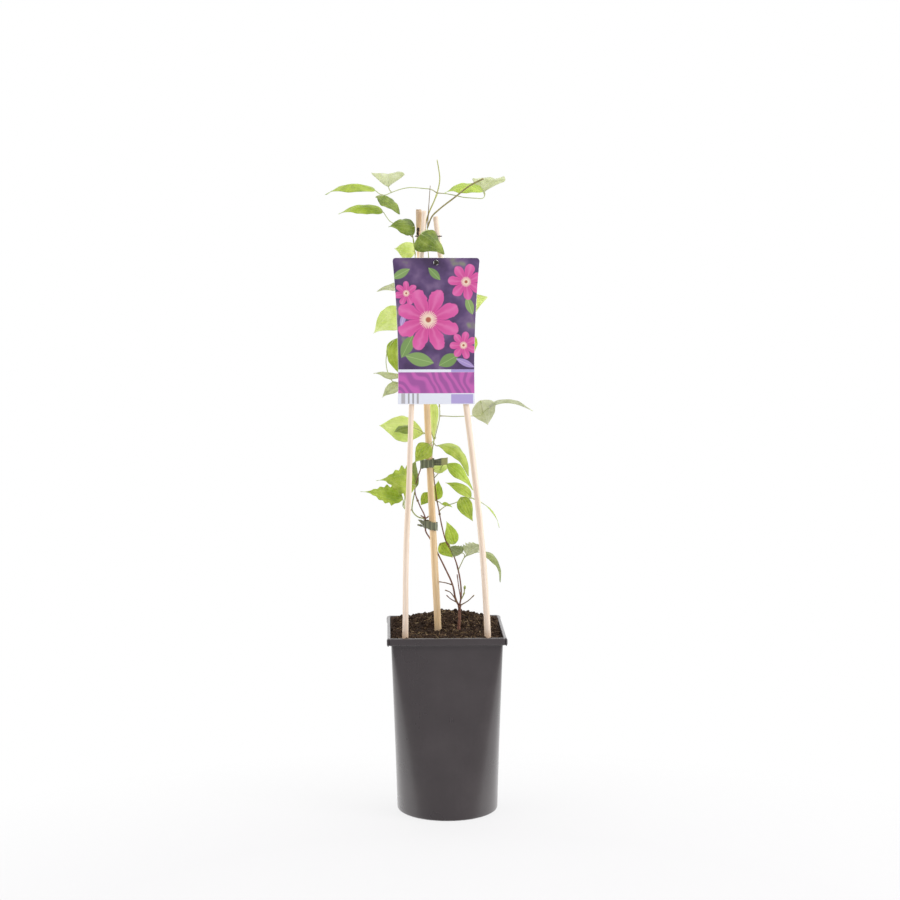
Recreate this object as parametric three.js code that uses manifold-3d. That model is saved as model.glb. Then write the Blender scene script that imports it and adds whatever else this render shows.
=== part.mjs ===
// A young clematis tied to three canes in a square-topped nursery pot, with its picture label.
// Millimetres, +Z up. The origin is the centre of the pot's underside, and the front is towards -Y.
import * as THREE from 'three';
import { mergeVertices } from 'three/addons/utils/BufferGeometryUtils.js';
import Module from 'manifold-3d';

const wasm = await Module();
wasm.setup();

// ---------------------------------------------------------------- driving dimensions
const GAP = 0.3;                  // air between pieces that touch

const POT_HEIGHT = 217;
const POT_RIM_HALF = 68.3;        // half the width across the rim
const POT_RIM_DEPTH = 8.2;        // height of the turned-down rim
const POT_NECK_HALF = 64;         // half the width just under the rim
const POT_BASE_RADIUS = 59.4;
const POT_LEAN = -2.4;            // how far its thin wall has sagged sideways at the rim
const POT_WALL = 1.6;
const POT_FLOOR = 2.4;
const RIM_WIDTH = 3.8;            // across the rim's flat, outside to inside
const NECK_CORNER = 3;            // radius of its round corners just under the rim
const RIM_CORNER = 5;
const DRAIN_HOLES = 6;
const DRAIN_RADIUS = 5;
const DRAIN_CIRCLE = 41;

const SOIL_EDGE = 212.6;          // height of the compost along the front wall
const SOIL_BACK_RISE = 3;         // how much higher it lies along the back wall
const SOIL_CROWN = 13;            // how far the heap behind the middle stands above that
const TRUNK_DEPTH = 180;          // height of the foot of the buried trunk

const CANE_FOOT = 140;            // height of the canes' lower ends, down in the compost
const LEAF_THICK = 0.7;
const PETIOLE_RADIUS = 0.65;

const LABEL_THICK = 0.9;
const LABEL_TOP_WIDTH = 99;
const LABEL_FOOT_WIDTH = 88;
const LABEL_HEIGHT = 166.2;
const LABEL_CORNER = 4;
const LABEL_HOLE_RADIUS = 3;
const LABEL_HOLE_DROP = 5.5;      // from the label's top edge to the middle of its hole
const LABEL_WAIST = 5;            // how far the long sides' curves are drawn inwards

const TAPE_WIDTH = 9.4;
const TAPE_THICK = 0.8;

// ---------------------------------------------------------------- finishes
function finish(color, roughness) {
  return new THREE.MeshStandardMaterial({ color, roughness, metalness: 0 });
}

const potPlastic = finish(0x4b4749, 0.5);
const compost = finish(0x2e221c, 0.95);
const paleCane = finish(0xe3c7a4, 0.6);
const bamboo = finish(0xc08f55, 0.5);
const bark = finish(0x7a4a3a, 0.7);
const youngStem = finish(0x9aa63a, 0.55);
const darkLeaf = finish(0x4f7a26, 0.5);
const midLeaf = finish(0x6f9a35, 0.5);
const brightLeaf = finish(0x95bb3c, 0.5);
const paleLeaf = finish(0xbfd46a, 0.5);
const greyLeaf = finish(0x9db27c, 0.6);
const labelPlastic = finish(0x9c3a80, 0.35);
const tiePlastic = finish(0x2c2a2b, 0.5);
const tapePlastic = finish(0x6d7556, 0.4);

// ---------------------------------------------------------------- making and joining solids
const vec = (p) => new THREE.Vector3(p[0], p[1], p[2]);

function meshOf(points, faces) {
  const geometry = new THREE.BufferGeometry();
  geometry.setAttribute('position', new THREE.Float32BufferAttribute(points.flatMap((p) => [p.x, p.y, p.z]), 3));
  geometry.setIndex(faces.flat());
  return geometry;
}

function solidOf(geometry) {
  return new wasm.Manifold(new wasm.Mesh({
    numProp: 3,
    vertProperties: new Float32Array(geometry.attributes.position.array),
    triVerts: new Uint32Array(geometry.index.array),
  }));
}

// Joins leave slivers behind, which are closed up below this size.
const SLIVER = 0.1;

function geometryOf(solid) {
  const mesh = solid.simplify(SLIVER).getMesh();
  const geometry = new THREE.BufferGeometry();
  geometry.setAttribute('position', new THREE.Float32BufferAttribute(mesh.vertProperties, 3));
  geometry.setIndex([...mesh.triVerts]);
  return geometry;
}

function fuse(geometries) {
  return geometryOf(geometries.map(solidOf).reduce((joined, next) => joined.add(next)));
}

function carve(geometry, cutters) {
  return geometryOf(cutters.map(solidOf).reduce((left, cutter) => left.subtract(cutter), solidOf(geometry)));
}

// A closed skin over a row of rings of equal length. The rings run anticlockwise seen from the last one.
function loft(rings) {
  const size = rings[0].length;
  const points = rings.flat();
  const faces = [];
  for (let r = 0; r + 1 < rings.length; r += 1) {
    for (let k = 0; k < size; k += 1) {
      const a = r * size + k;
      const b = r * size + ((k + 1) % size);
      faces.push([a, b, b + size], [a, b + size, a + size]);
    }
  }
  const middle = (ring) => ring.reduce((sum, p) => sum.add(p), new THREE.Vector3()).divideScalar(size);
  const foot = points.push(middle(rings[0])) - 1;
  const head = points.push(middle(rings[rings.length - 1])) - 1;
  const last = (rings.length - 1) * size;
  for (let k = 0; k < size; k += 1) {
    const next = (k + 1) % size;
    faces.push([foot, next, k], [head, last + k, last + next]);
  }
  return meshOf(points, faces);
}

// A round rod along a smooth route, tapering from one radius to the other, with swollen joints if wanted.
function rod(route, radius, endRadius, { sides = 6, steps = 2 * (route.length - 1), swell = () => 0 } = {}) {
  const curve = new THREE.CatmullRomCurve3(route.map(vec), false, 'centripetal');
  const frames = curve.computeFrenetFrames(steps, false);
  const rings = [];
  for (let i = 0; i <= steps; i += 1) {
    const along = i / steps;
    const centre = curve.getPointAt(along);
    const size = THREE.MathUtils.lerp(radius, endRadius, along) + swell(along);
    rings.push(Array.from({ length: sides }, (_, k) => {
      const angle = (2 * Math.PI * k) / sides;
      return centre.clone()
        .addScaledVector(frames.normals[i], size * Math.cos(angle))
        .addScaledVector(frames.binormals[i], size * Math.sin(angle));
    }));
  }
  return loft(rings);
}

const object = new THREE.Group();

function place(name, geometry, material) {
  const mesh = new THREE.Mesh(geometry, material);
  mesh.name = name;
  object.add(mesh);
}

// ---------------------------------------------------------------- pot
// Its section is a circle at the foot. Upwards, the four sides grow flat and the round corners between them
// get tighter. The soft wall leans a little to the left.
const CORNER_POINTS = 8;
const neckHeight = POT_HEIGHT - POT_RIM_DEPTH;

function squareRing(half, corner, height, heightAt = () => height) {
  const ring = [];
  [[1, 1], [-1, 1], [-1, -1], [1, -1]].forEach(([sideX, sideY], quarter) => {
    for (let k = 0; k <= CORNER_POINTS; k += 1) {
      const angle = (quarter + Math.min(k / (CORNER_POINTS - 1), 1)) * (Math.PI / 2);
      const middle = k === CORNER_POINTS ? [0, 0] : [sideX * (half - corner), sideY * (half - corner)];
      const reach = k === CORNER_POINTS ? half : corner;      // the last point is the next side's middle
      const x = middle[0] + reach * Math.cos(angle) + (POT_LEAN * height) / neckHeight;
      const y = middle[1] + reach * Math.sin(angle);
      ring.push(new THREE.Vector3(x, y, heightAt(x, y)));
    }
  });
  return ring;
}

const WALL_RINGS = [50, 105, 160];
const potHalf = (z) => POT_BASE_RADIUS + (POT_NECK_HALF - POT_BASE_RADIUS) * (z / neckHeight) ** 1.2;
const potCorner = (z) => POT_BASE_RADIUS + (NECK_CORNER - POT_BASE_RADIUS) * (z / neckHeight);
const potRing = (z, inset) => squareRing(potHalf(z) - inset, Math.min(potCorner(z), potHalf(z) - 1) - inset, z);
const rimRing = (z, half) => squareRing(half, RIM_CORNER - (POT_RIM_HALF - half), z);

const potOutside = loft([
  potRing(0, 1.4),
  potRing(1.6, 0),
  ...[...WALL_RINGS, neckHeight - 1].map((z) => potRing(z, 0)),
  rimRing(neckHeight, POT_RIM_HALF - 0.9),
  rimRing(neckHeight + 1.2, POT_RIM_HALF),
  rimRing(POT_HEIGHT - 0.8, POT_RIM_HALF),
  rimRing(POT_HEIGHT, POT_RIM_HALF - 0.8),
]);
const potInside = loft([
  ...[POT_FLOOR, ...WALL_RINGS, neckHeight - 2].map((z) => potRing(z, POT_WALL)),
  rimRing(neckHeight + 2, POT_RIM_HALF - RIM_WIDTH),
  rimRing(POT_HEIGHT + 1, POT_RIM_HALF - RIM_WIDTH + 0.4),
]);
const drainHoles = Array.from({ length: DRAIN_HOLES }, (_, k) => {
  const angle = (2 * Math.PI * (k + 0.5)) / DRAIN_HOLES;
  const x = DRAIN_CIRCLE * Math.cos(angle);
  const y = DRAIN_CIRCLE * Math.sin(angle);
  return rod([[x, y, -1], [x, y, POT_FLOOR + 1]], DRAIN_RADIUS, DRAIN_RADIUS, { sides: 10, steps: 1 });
});
place('pot', carve(potOutside, [potInside, ...drainHoles]), potPlastic);

// ---------------------------------------------------------------- canes and trunk, which stand in the compost
// Each route runs from the foot in the compost to the cut top. The three lean together.
const CANES = [
  {
    name: 'cane_left', material: paleCane, radius: 3.5, endRadius: 2.8,
    route: [
      [-52, -47, CANE_FOOT], [-50, -44, 214], [-48.8, -40, 310], [-45, -36, 396], [-42, -33, 481], [-30, -25, 657],
      [-27, -22, 701.5],
    ],
  },
  {
    name: 'cane_middle', material: bamboo, radius: 4.3, endRadius: 3.4,
    route: [[-8, -2, CANE_FOOT], [-11, -3, 211], [-20, -7, 392], [-24, -9, 479], [-32, -13, 657], [-33, -14, 703]],
    joints: [0.2, 0.38, 0.56, 0.75, 0.92],
  },
  {
    name: 'cane_right', material: paleCane, radius: 3.8, endRadius: 3,
    route: [
      [48, -49, CANE_FOOT], [45, -46, 214], [40, -42, 301], [28, -36, 419], [8, -27, 567], [-8, -21, 648],
      [-14, -17, 695],
    ],
  },
];
const CANE_SIDES = 8;
const CANE_STEPS = 12;
const JOINT_SWELL = 0.5;
const JOINT_REACH = 0.03;

function cane({ route, radius, endRadius, joints = [] }, margin = 0) {
  const swell = (along) => margin + joints.reduce(
    (sum, at) => sum + JOINT_SWELL * Math.max(0, 1 - Math.abs(along - at) / JOINT_REACH), 0);
  return rod(route, radius, endRadius, { sides: CANE_SIDES, steps: CANE_STEPS, swell });
}

CANES.forEach((piece) => place(piece.name, cane(piece), piece.material));

const TRUNK_ROUTE = [[11, -4, TRUNK_DEPTH], [13, -4, 213], [14, -4, 228], [14, -4, 243]];
const TRUNK_RADIUS = 1.5;
const trunk = (margin = 0) => rod(TRUNK_ROUTE, TRUNK_RADIUS + margin, TRUNK_RADIUS + 0.3 + margin, { sides: 7 });

// ---------------------------------------------------------------- compost
// It rises towards the back wall, where it is heaped over the rim, and it is lumpy all over.
function soilHeight(x, y) {
  const rise = SOIL_BACK_RISE * THREE.MathUtils.smoothstep(y, -10, 55);
  const heap = SOIL_CROWN * Math.exp(-(((x - 4) / 44) ** 2 + ((y - 36) / 26) ** 2));
  const lumps = 0.6 * Math.sin(0.31 * x + 0.4 * y) + 0.6 * Math.sin(0.43 * x - 0.27 * y + 1.7);
  return SOIL_EDGE + rise + heap + lumps;
}

const soilHalf = POT_RIM_HALF - RIM_WIDTH - GAP;
const soilBody = loft([
  ...[POT_FLOOR + GAP, ...WALL_RINGS, neckHeight - 2].map((z) => potRing(z, POT_WALL + GAP)),
  rimRing(neckHeight + 2, soilHalf),
  ...[1, 0.86, 0.7, 0.54, 0.38, 0.22, 0.08].map((share) => squareRing(
    soilHalf * share, soilHalf * share * (0.96 - 0.93 * share ** 3), POT_HEIGHT, soilHeight)),
]);
place('soil', carve(soilBody, [...CANES.map((piece) => cane(piece, GAP)), trunk(GAP)]), compost);

// ---------------------------------------------------------------- woody vine
// One plant: a trunk that forks at its crown, with old cut stubs and two stems that climb the canes.
const LEFT_STEM = [
  [14, -4, 242], [10, -4, 249], [6, -2, 267], [-3, 1, 287], [-11, 3, 303], [-20, 2, 321], [-25.5, -2, 331],
  [-25.3, -6, 342], [-27, -8, 350.5], [-32.5, -8, 362], [-38, -8, 379], [-35, -8, 394], [-30.3, -8, 408],
  [-29.4, -8.2, 414.5], [-27.8, -11, 419], [-24.8, -13.4, 422.5], [-20.8, -14, 427], [-17.2, -11.6, 431.5],
  [-15.9, -6.5, 437.5], [-18.5, -1.8, 446], [-23.5, -1.6, 460], [-26, -1.6, 479], [-38, -2, 519], [-44, -2, 566],
  [-41, -2, 612], [-37, -3, 644], [-38, -5, 660], [-40, -7, 674],
];
const RIGHT_STEM = [
  [14, -4, 242], [16, -2, 254], [15, 2, 272], [10, 4, 294], [3.4, 4, 309], [-1.6, 3, 318.3], [-5.9, 3, 333.7],
  [-10.4, 2, 357.5], [-12.3, 1.2, 367], [-14.5, 0.4, 384.3], [-15.6, -0.2, 392], [-16.6, -1.5, 401.5],
  [-17.5, -2.5, 412.3], [-17.9, -2.7, 421.6], [-16.1, -2.6, 435.6], [-12.9, -2.3, 447.3], [-9, -2, 465.5],
  [-9.4, -2, 479], [-12, -2, 519], [-17, -3, 566], [-20, -4, 612], [-22, -7, 652], [-24, -12, 671],
  [-23, -14, 685],
];
const CUT_TOP = [
  [-23, -14, 683], [-21, -18, 689], [-17.5, -21.5, 696], [-9, -22, 704], [8, -23, 717], [25, -26, 730],
  [40, -29, 737.5],
];
const DRY_TIP = [[-23, -14, 684], [-22.5, -14.5, 694], [-21, -16, 717], [-20, -17.5, 730]];
const SIDE_LOOP = [
  [-25.9, -7.2, 346.8], [-30, -5.5, 346.8], [-35.5, -3, 348.5], [-41, -2, 355], [-40.5, -4, 366],
  [-38.2, -7.9, 378],
];
const STUBS = [
  [[9, -4, 251], [3, -6, 259], [-3, -8, 262]],
  [[11.5, -4, 246.5], [4, -1, 250], [-1, 2, 254]],
  [[15, -4, 243], [24, -7, 249], [31, -9, 256]],
  [[14, -5, 243], [15, -8, 252], [13, -9, 265], [11, -10, 281]],
  [[6, -2, 267], [-2, -5, 270], [-10, -8, 272]],
  [[16, -2, 250], [19, -4, 256], [20, -4, 263]],
  [[-25.9, -7.2, 346.8], [-29, -9.5, 349], [-31.5, -10, 350.5]],
  [[-25.9, -7.2, 346.8], [-23.5, -11, 348.5], [-22.5, -12.5, 350]],
];

// The stems that carry leaves, made thicker by a margin where they cut a seat in what stands on them.
const leafyStems = (margin = 0) => [
  rod(LEFT_STEM, 1.2 + margin, 0.8 + margin, { steps: 60 }),
  rod(RIGHT_STEM, 0.95 + margin, 0.7 + margin, { steps: 48 }),
  rod(SIDE_LOOP, 0.75 + margin, 0.75 + margin, { sides: 5 }),
];

place('vine_stem', fuse([
  trunk(),
  ...leafyStems(),
  rod(CUT_TOP, 0.85, 0.95, { steps: 8 }),
  rod(DRY_TIP, 0.6, 0.35, { sides: 5 }),
  ...STUBS.map((route) => rod(route, 0.8, 0.6, { sides: 5 })),
]), bark);

// ---------------------------------------------------------------- leaf blades
// An ovate blade with a drawn-out tip, arched along its rib and folded a little about it.
// `face` is the side that its upper surface looks to, `belly` says how far from the stalk it is widest, and
// `point` how drawn out its ends are. A cut blade has coarse teeth.
const BLADE_COLUMNS = [-1, -0.5, 0, 0.5, 1];
const ENTIRE_ROWS = [0.08, 0.23, 0.42, 0.62, 0.82];
const CUT_ROWS = [0.08, 0.2, 0.31, 0.37, 0.56, 0.63, 0.82];
const CUT_NOTCHES = [1, 0.95, 1.24, 0.8, 1.28, 0.78, 1];

function blade({
  stalk, tip, face, width, arch = 0.12, fold = 0.25, wave = 0.05, phase = 0, belly = 0.62, point = 1.1,
  cut = false,
}) {
  const start = vec(stalk[stalk.length - 1]);
  const along = vec(tip).sub(start);
  const length = along.length();
  const forward = along.clone().normalize();
  const side = forward.clone().cross(vec(face)).normalize();
  const up = side.clone().cross(forward).normalize();
  const rows = cut ? CUT_ROWS : ENTIRE_ROWS;
  const notches = cut ? CUT_NOTCHES : rows.map(() => 1);

  const surface = (u, v, notch = 1) => {
    const half = 0.5 * width * Math.sin(Math.PI * u ** belly) ** point * (1 + (notch - 1) * Math.abs(v));
    const across = half * v;
    const rise = arch * length * Math.sin(Math.PI * u ** 0.85)
      + fold * Math.abs(across)
      + wave * width * v * v * Math.sin(3 * Math.PI * u + phase + (v > 0 ? 1.3 : 0));
    return start.clone().addScaledVector(forward, length * u).addScaledVector(side, across).addScaledVector(up, rise);
  };

  const grid = rows.map((u, i) => BLADE_COLUMNS.map((v) => surface(u, v, notches[i])));
  const lengthwise = (i, j) => grid[Math.min(i + 1, rows.length - 1)][j].clone().sub(grid[Math.max(i - 1, 0)][j]);
  const crosswise = (i, j) => grid[i][Math.min(j + 1, 4)].clone().sub(grid[i][Math.max(j - 1, 0)]);
  const points = [];
  [1, -1].forEach((sheet) => {
    const shift = 0.5 * LEAF_THICK * sheet;
    grid.forEach((row, i) => row.forEach((p, j) => {
      points.push(p.clone().addScaledVector(crosswise(i, j).cross(lengthwise(i, j)).normalize(), shift));
    }));
    points.push(surface(0, 0).addScaledVector(up, shift), surface(1, 0).addScaledVector(up, shift));
  });

  const columns = BLADE_COLUMNS.length;
  const sheetSize = rows.length * columns + 2;
  const at = (i, j) => i * columns + j;
  const heel = sheetSize - 2;
  const tipEnd = sheetSize - 1;
  const last = rows.length - 1;
  const top = [];
  for (let j = 0; j + 1 < columns; j += 1) {
    top.push([heel, at(0, j + 1), at(0, j)], [tipEnd, at(last, j), at(last, j + 1)]);
    for (let i = 0; i < last; i += 1) {
      top.push([at(i, j), at(i, j + 1), at(i + 1, j + 1)], [at(i, j), at(i + 1, j + 1), at(i + 1, j)]);
    }
  }
  const edge = [heel, ...rows.map((_, i) => at(i, columns - 1)), tipEnd, ...rows.map((_, i) => at(last - i, 0))];
  const faces = top.flatMap(([a, b, c]) => [[a, b, c], [a + sheetSize, c + sheetSize, b + sheetSize]]);
  edge.forEach((a, k) => {
    const b = edge[(k + 1) % edge.length];
    faces.push([b, a, a + sheetSize], [b, a + sheetSize, b + sheetSize]);
  });
  return meshOf(points, faces);
}

// A leaflet's stalk ends at the foot of its blade and runs on a little way along the rib, so that the two hold.
const ROOT_SHARE = 0.12;
const STALK_SIDES = 4;

function stalkWithRoot({ stalk, tip, face, arch = 0.12 }) {
  const start = vec(stalk[stalk.length - 1]);
  const along = vec(tip).sub(start);
  const up = along.clone().cross(vec(face)).cross(along).normalize();
  const end = start.clone().addScaledVector(along, ROOT_SHARE)
    .addScaledVector(up, arch * along.length() * Math.sin(Math.PI * ROOT_SHARE ** 0.85));
  const route = [...stalk, end.toArray()];
  return rod(route, PETIOLE_RADIUS, PETIOLE_RADIUS * 0.8, { sides: STALK_SIDES, steps: route.length });
}

const frond = (leaflets) => fuse(leaflets.flatMap((leaf) => [stalkWithRoot(leaf), blade(leaf)]));

// ---------------------------------------------------------------- young shoot
const LEADER_ROUTE = [
  [-25.8, -10.9, 669.5], [-25.7, -10.9, 676], [-25.4, -11, 685], [-22, -11.6, 698], [-15, -11, 714],
  [-12, -10, 722], [-9, -10, 737],
  [-10, -9, 748], [-12, -8, 759.5],
];
const leader = (margin = 0) => rod(LEADER_ROUTE, 0.9 + margin, 0.55 + margin);
place('leader', leader(), youngStem);

// ---------------------------------------------------------------- compound leaves
// Each leaf's first stalk starts on its stem's middle line and is cut back to the bark. The others branch off it.
const FRONDS = [
  {
    name: 'frond_top_left', material: midLeaf,
    leaflets: [
      {
        stalk: [[-12, -10, 722], [-19, -10, 726], [-27, -11, 727], [-43, -12, 728], [-54, -13, 726],
          [-65, -14, 722], [-71, -15, 719.5], [-77, -15, 720.5], [-82.5, -13, 724.5]],
        tip: [-140, -6, 720], face: [0.1, -0.4, 1], width: 27, arch: 0.17, fold: -0.35,
      },
      {
        stalk: [[-64, -14, 722.5], [-66, -13, 725], [-67.5, -12, 728.5]],
        tip: [-69, 26, 737], face: [0, -0.3, 1], width: 38, arch: 0.3, fold: 0.15,
      },
      {
        stalk: [[-74, -15, 719.7], [-78, -16.5, 719], [-82, -17.5, 717]],
        tip: [-54.5, -27, 697.5], face: [0.45, -0.6, 0.7], width: 23, arch: 0.15, fold: -0.1, belly: 0.9,
      },
    ],
  },
  {
    name: 'frond_top_right', material: greyLeaf,
    leaflets: [
      {
        stalk: [[-12, -10, 722], [-1, -12, 721], [9, -13, 719], [18, -14, 717], [31, -15, 716],
          [40, -15, 716], [42, -14, 719], [40, -13, 723.5]],
        tip: [-4, -4, 722], face: [0, -0.5, 0.9], width: 27, arch: 0.17, fold: -0.1,
      },
      {
        stalk: [[42, -14, 719], [42.5, -13, 721.5], [42, -12, 723]],
        tip: [62, 26, 736], face: [-0.1, -0.3, 1], width: 39, arch: 0.2, fold: 0.15,
      },
    ],
  },
  {
    name: 'leaf_crown_left', material: darkLeaf,
    leaflets: [
      {
        stalk: [[-40, -7, 672], [-50, -9, 680], [-57, -10, 685], [-66, -11, 690], [-70, -12, 695],
          [-74, -13, 700.5]],
        tip: [-125, -12, 698], face: [0, -0.55, 0.85], width: 22, arch: 0.14, fold: -0.2, belly: 0.55,
      },
    ],
  },
  {
    name: 'leaf_crown_dark', material: darkLeaf,
    leaflets: [
      {
        stalk: [[-40, -7, 674], [-41.5, -9, 677.5], [-40.5, -11.5, 680.5], [-37.5, -14.5, 683]],
        tip: [-68, -20, 683.5], face: [0.05, -0.7, 0.7], width: 26, arch: 0.15, fold: -0.25, belly: 0.5,
      },
    ],
  },
  {
    name: 'leaf_crown_front', material: darkLeaf,
    leaflets: [
      {
        stalk: [[-23.8, -12.4, 673.5], [-21, -18, 678], [-23.5, -28, 679.5], [-31, -36.5, 675.5]],
        tip: [-4.5, -42, 652.5], face: [0.36, -0.82, 0.45], width: 36, arch: 0.08, fold: -0.42, belly: 0.46,
      },
    ],
  },
  {
    name: 'leaf_crown_pale', material: paleLeaf,
    leaflets: [
      {
        stalk: [[-37, -3, 646], [-37, 1, 650], [-37, 3, 655]],
        tip: [-61, 5, 659], face: [0.1, -0.8, 0.5], width: 25, arch: 0.08, fold: -0.1,
      },
    ],
  },
  {
    name: 'frond_label_left_upper', material: paleLeaf,
    leaflets: [
      {
        stalk: [[-44, -2, 572], [-48, 0, 576], [-51, 1.5, 585], [-52, 2, 598], [-52, 2, 607], [-49, 1, 614]],
        tip: [-81.5, -2, 610], face: [-0.2, 0.6, 0.8], width: 15, arch: 0.08, fold: 0.2,
      },
      {
        stalk: [[-51.5, 1.8, 591], [-50, -1, 589.5], [-47.5, -4, 585]],
        tip: [-85.5, -14, 562], face: [-0.5, -0.8, 0.4], width: 38, arch: 0.1, fold: 0.1,
      },
      {
        stalk: [[-52, 2, 604], [-47, 8, 612], [-40, 14, 617]],
        tip: [-18, 36, 628], face: [0.2, -0.2, 1], width: 24, arch: 0.12,
      },
    ],
  },
  {
    name: 'frond_label_left_lower', material: darkLeaf,
    leaflets: [
      {
        stalk: [[-38, -2, 519], [-43, -2.5, 513], [-48, -3, 509], [-55, -3, 505], [-63, -2, 506], [-69, -1, 517],
          [-71, -1, 531], [-68, 0, 545], [-62, 1, 553], [-57, 1, 556]],
        tip: [-55, 2, 513], face: [-0.7, -0.7, 0], width: 27, arch: 0.12,
      },
      {
        stalk: [[-52, -3, 507], [-52, -3.5, 510], [-54, -4, 513]],
        tip: [-86, -7, 516], face: [0, -0.35, 0.95], width: 19, arch: 0.08, fold: -0.4,
      },
      {
        stalk: [[-50, -3, 509], [-51, -4, 505], [-53, -5, 502]],
        tip: [-76, -11, 488], face: [-0.3, -0.75, 0.6], width: 17, arch: 0.1,
      },
    ],
  },
  {
    name: 'frond_label_right', material: brightLeaf,
    leaflets: [
      {
        stalk: [[-19, -3.5, 592], [-12, -4, 594], [-3, -5, 590], [6, -7, 583]],
        tip: [46, -12, 604], face: [0.3, -0.8, 0.55], width: 35, arch: 0.1,
      },
      {
        stalk: [[-3, -5, 590], [6, -6, 580], [13, -6, 570], [18, -6, 563]],
        tip: [21, -9, 524], face: [0.4, -0.9, 0.2], width: 28, arch: 0.1,
      },
      {
        stalk: [[-6, -4.5, 591.5], [0, 2, 598], [5, 10, 604]],
        tip: [22, 38, 614], face: [0, -0.2, 1], width: 24, arch: 0.12,
      },
    ],
  },
  {
    name: 'frond_back_high', material: midLeaf,
    leaflets: [
      {
        stalk: [[-21, -5, 628], [-18, 4, 633], [-14, 14, 632], [-10, 24, 628]],
        tip: [2, 64, 618], face: [0, 0.3, 1], width: 27, arch: 0.14,
      },
      {
        stalk: [[-14, 14, 632], [-22, 20, 634], [-28, 24, 634]],
        tip: [-52, 50, 628], face: [0, 0.4, 1], width: 25, arch: 0.14,
      },
    ],
  },
  {
    name: 'frond_back_middle', material: midLeaf,
    leaflets: [
      {
        stalk: [[-43.5, -2, 545], [-40, 8, 550], [-34, 18, 550], [-28, 28, 546]],
        tip: [-20, 70, 528], face: [0, 0.5, 0.9], width: 29, arch: 0.14,
      },
      {
        stalk: [[-34, 18, 550], [-42, 24, 549], [-48, 28, 547]],
        tip: [-60, 60, 532], face: [-0.2, 0.5, 0.9], width: 23, arch: 0.12,
      },
      {
        stalk: [[-34, 18, 550], [-26, 19, 554], [-20, 20, 556]],
        tip: [12, 36, 552], face: [0.3, 0.3, 1], width: 25, arch: 0.12,
      },
    ],
  },
  {
    name: 'frond_label_foot', material: greyLeaf,
    leaflets: [
      {
        stalk: [[-9, -2, 466], [0, -6, 466], [8, -11, 466], [18, -14, 466.5], [28, -15, 467],
          [37, -16, 467.5], [43, -17, 473], [47, -18, 476]],
        tip: [98, -22, 473], face: [0.05, 0.25, 1], width: 20, arch: 0.15, fold: 0.35,
      },
      {
        stalk: [[40, -16.5, 470.5], [39, -14.5, 478], [37.5, -14.5, 485]],
        tip: [46, -23, 457], face: [0.2, 0.85, 0.35], width: 31, arch: 0.06, fold: 0.1,
      },
    ],
  },
  {
    name: 'frond_middle_left', material: paleLeaf,
    leaflets: [
      {
        stalk: [[-18.8, -1.75, 447], [-22, 1, 446.5], [-25, 2.5, 445.5], [-28, 3.2, 444.6]],
        tip: [-79.5, 0, 455], face: [-0.1, -0.8, 0.5], width: 33, arch: 0.06, fold: 0.1, belly: 0.85,
      },
      {
        stalk: [[-25, 2.5, 445.5], [-28, -1, 446.5], [-33.5, -5, 450], [-39.5, -8, 453]],
        tip: [-62.5, -17, 448.5], face: [0, -0.5, 0.85], width: 17, arch: 0.16, fold: -0.4, belly: 0.8,
      },
    ],
  },
  {
    name: 'leaf_behind_cane', material: paleLeaf,
    leaflets: [
      {
        stalk: [[-9.6, -2, 481.5], [-12.5, 2, 485], [-17, 4, 487], [-20, 4, 486]],
        tip: [-16, 3, 438], face: [0.3, -1, 0.1], width: 15, arch: 0.05, fold: 0.2,
      },
    ],
  },
  {
    name: 'leaf_middle_small', material: brightLeaf,
    leaflets: [
      {
        stalk: [[-14.2, -2.45, 442], [-14, -10, 441], [-17, -16, 438], [-21, -18.5, 434.5]],
        tip: [-38.5, -20.5, 413.5], face: [-0.2, -0.95, 0.3], width: 22, arch: 0.06, fold: 0.15, point: 1.25,
      },
    ],
  },
  {
    name: 'leaf_middle_arching', material: brightLeaf,
    leaflets: [
      {
        stalk: [[-16.3, -2.6, 434.5], [-15, -4.5, 433.5], [-13.2, -6, 431.5]],
        tip: [24, -21, 397.5], face: [0.6, -0.5, 0.65], width: 27, arch: 0.29, fold: -0.2, belly: 0.75,
      },
    ],
  },
  {
    name: 'frond_middle_right', material: brightLeaf,
    leaflets: [
      {
        stalk: [[-15.8, -0.35, 393], [-10, 3, 399], [-6, 3, 407], [-1.9, -4, 410]],
        tip: [30, -10, 379.5], face: [0.4, -0.7, 0.6], width: 20, arch: 0.08, fold: 0.15, point: 1.6,
      },
      {
        stalk: [[-10, 3, 399], [-13, 6, 399], [-16.6, 7, 401.5]],
        tip: [5, 9, 405.5], face: [0.1, -0.8, 0.6], width: 15, arch: 0.1,
      },
    ],
  },
  {
    name: 'frond_lower_right', material: brightLeaf,
    leaflets: [
      {
        stalk: [[-9.7, 2.2, 354], [-2, -3, 360.5], [9, -8, 365], [19, -12, 370], [28, -15, 371], [35, -17, 369],
          [41, -18, 365]],
        tip: [59.7, -21, 337], face: [0.8, 0, 0.6], width: 8, arch: 0.13, fold: -0.3,
      },
      {
        stalk: [[31, -16, 370], [29, -15, 371], [27, -14, 372]],
        tip: [-3, -9, 389], face: [-0.2, -0.6, 0.75], width: 15, arch: 0.1,
      },
      {
        stalk: [[15, -10.5, 368], [15, -13, 371], [15.5, -15, 372.7]],
        tip: [28.7, -21, 345], face: [-0.2, -0.95, 0.2], width: 18, arch: 0.05, fold: 0.15,
      },
    ],
  },
  {
    name: 'frond_lower_left', material: midLeaf,
    leaflets: [
      {
        stalk: [[-41.2, -2, 356], [-47, -6, 356.5], [-52, -12, 362], [-52, -14.5, 370]],
        tip: [-101.5, -21, 380.5], face: [0, -0.8, 0.6], width: 30, arch: 0.07, belly: 0.55, point: 1.9, cut: true,
      },
      {
        stalk: [[-52, -12, 362], [-48, -12, 373], [-42, -11.5, 380], [-37, -11.5, 385]],
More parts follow.
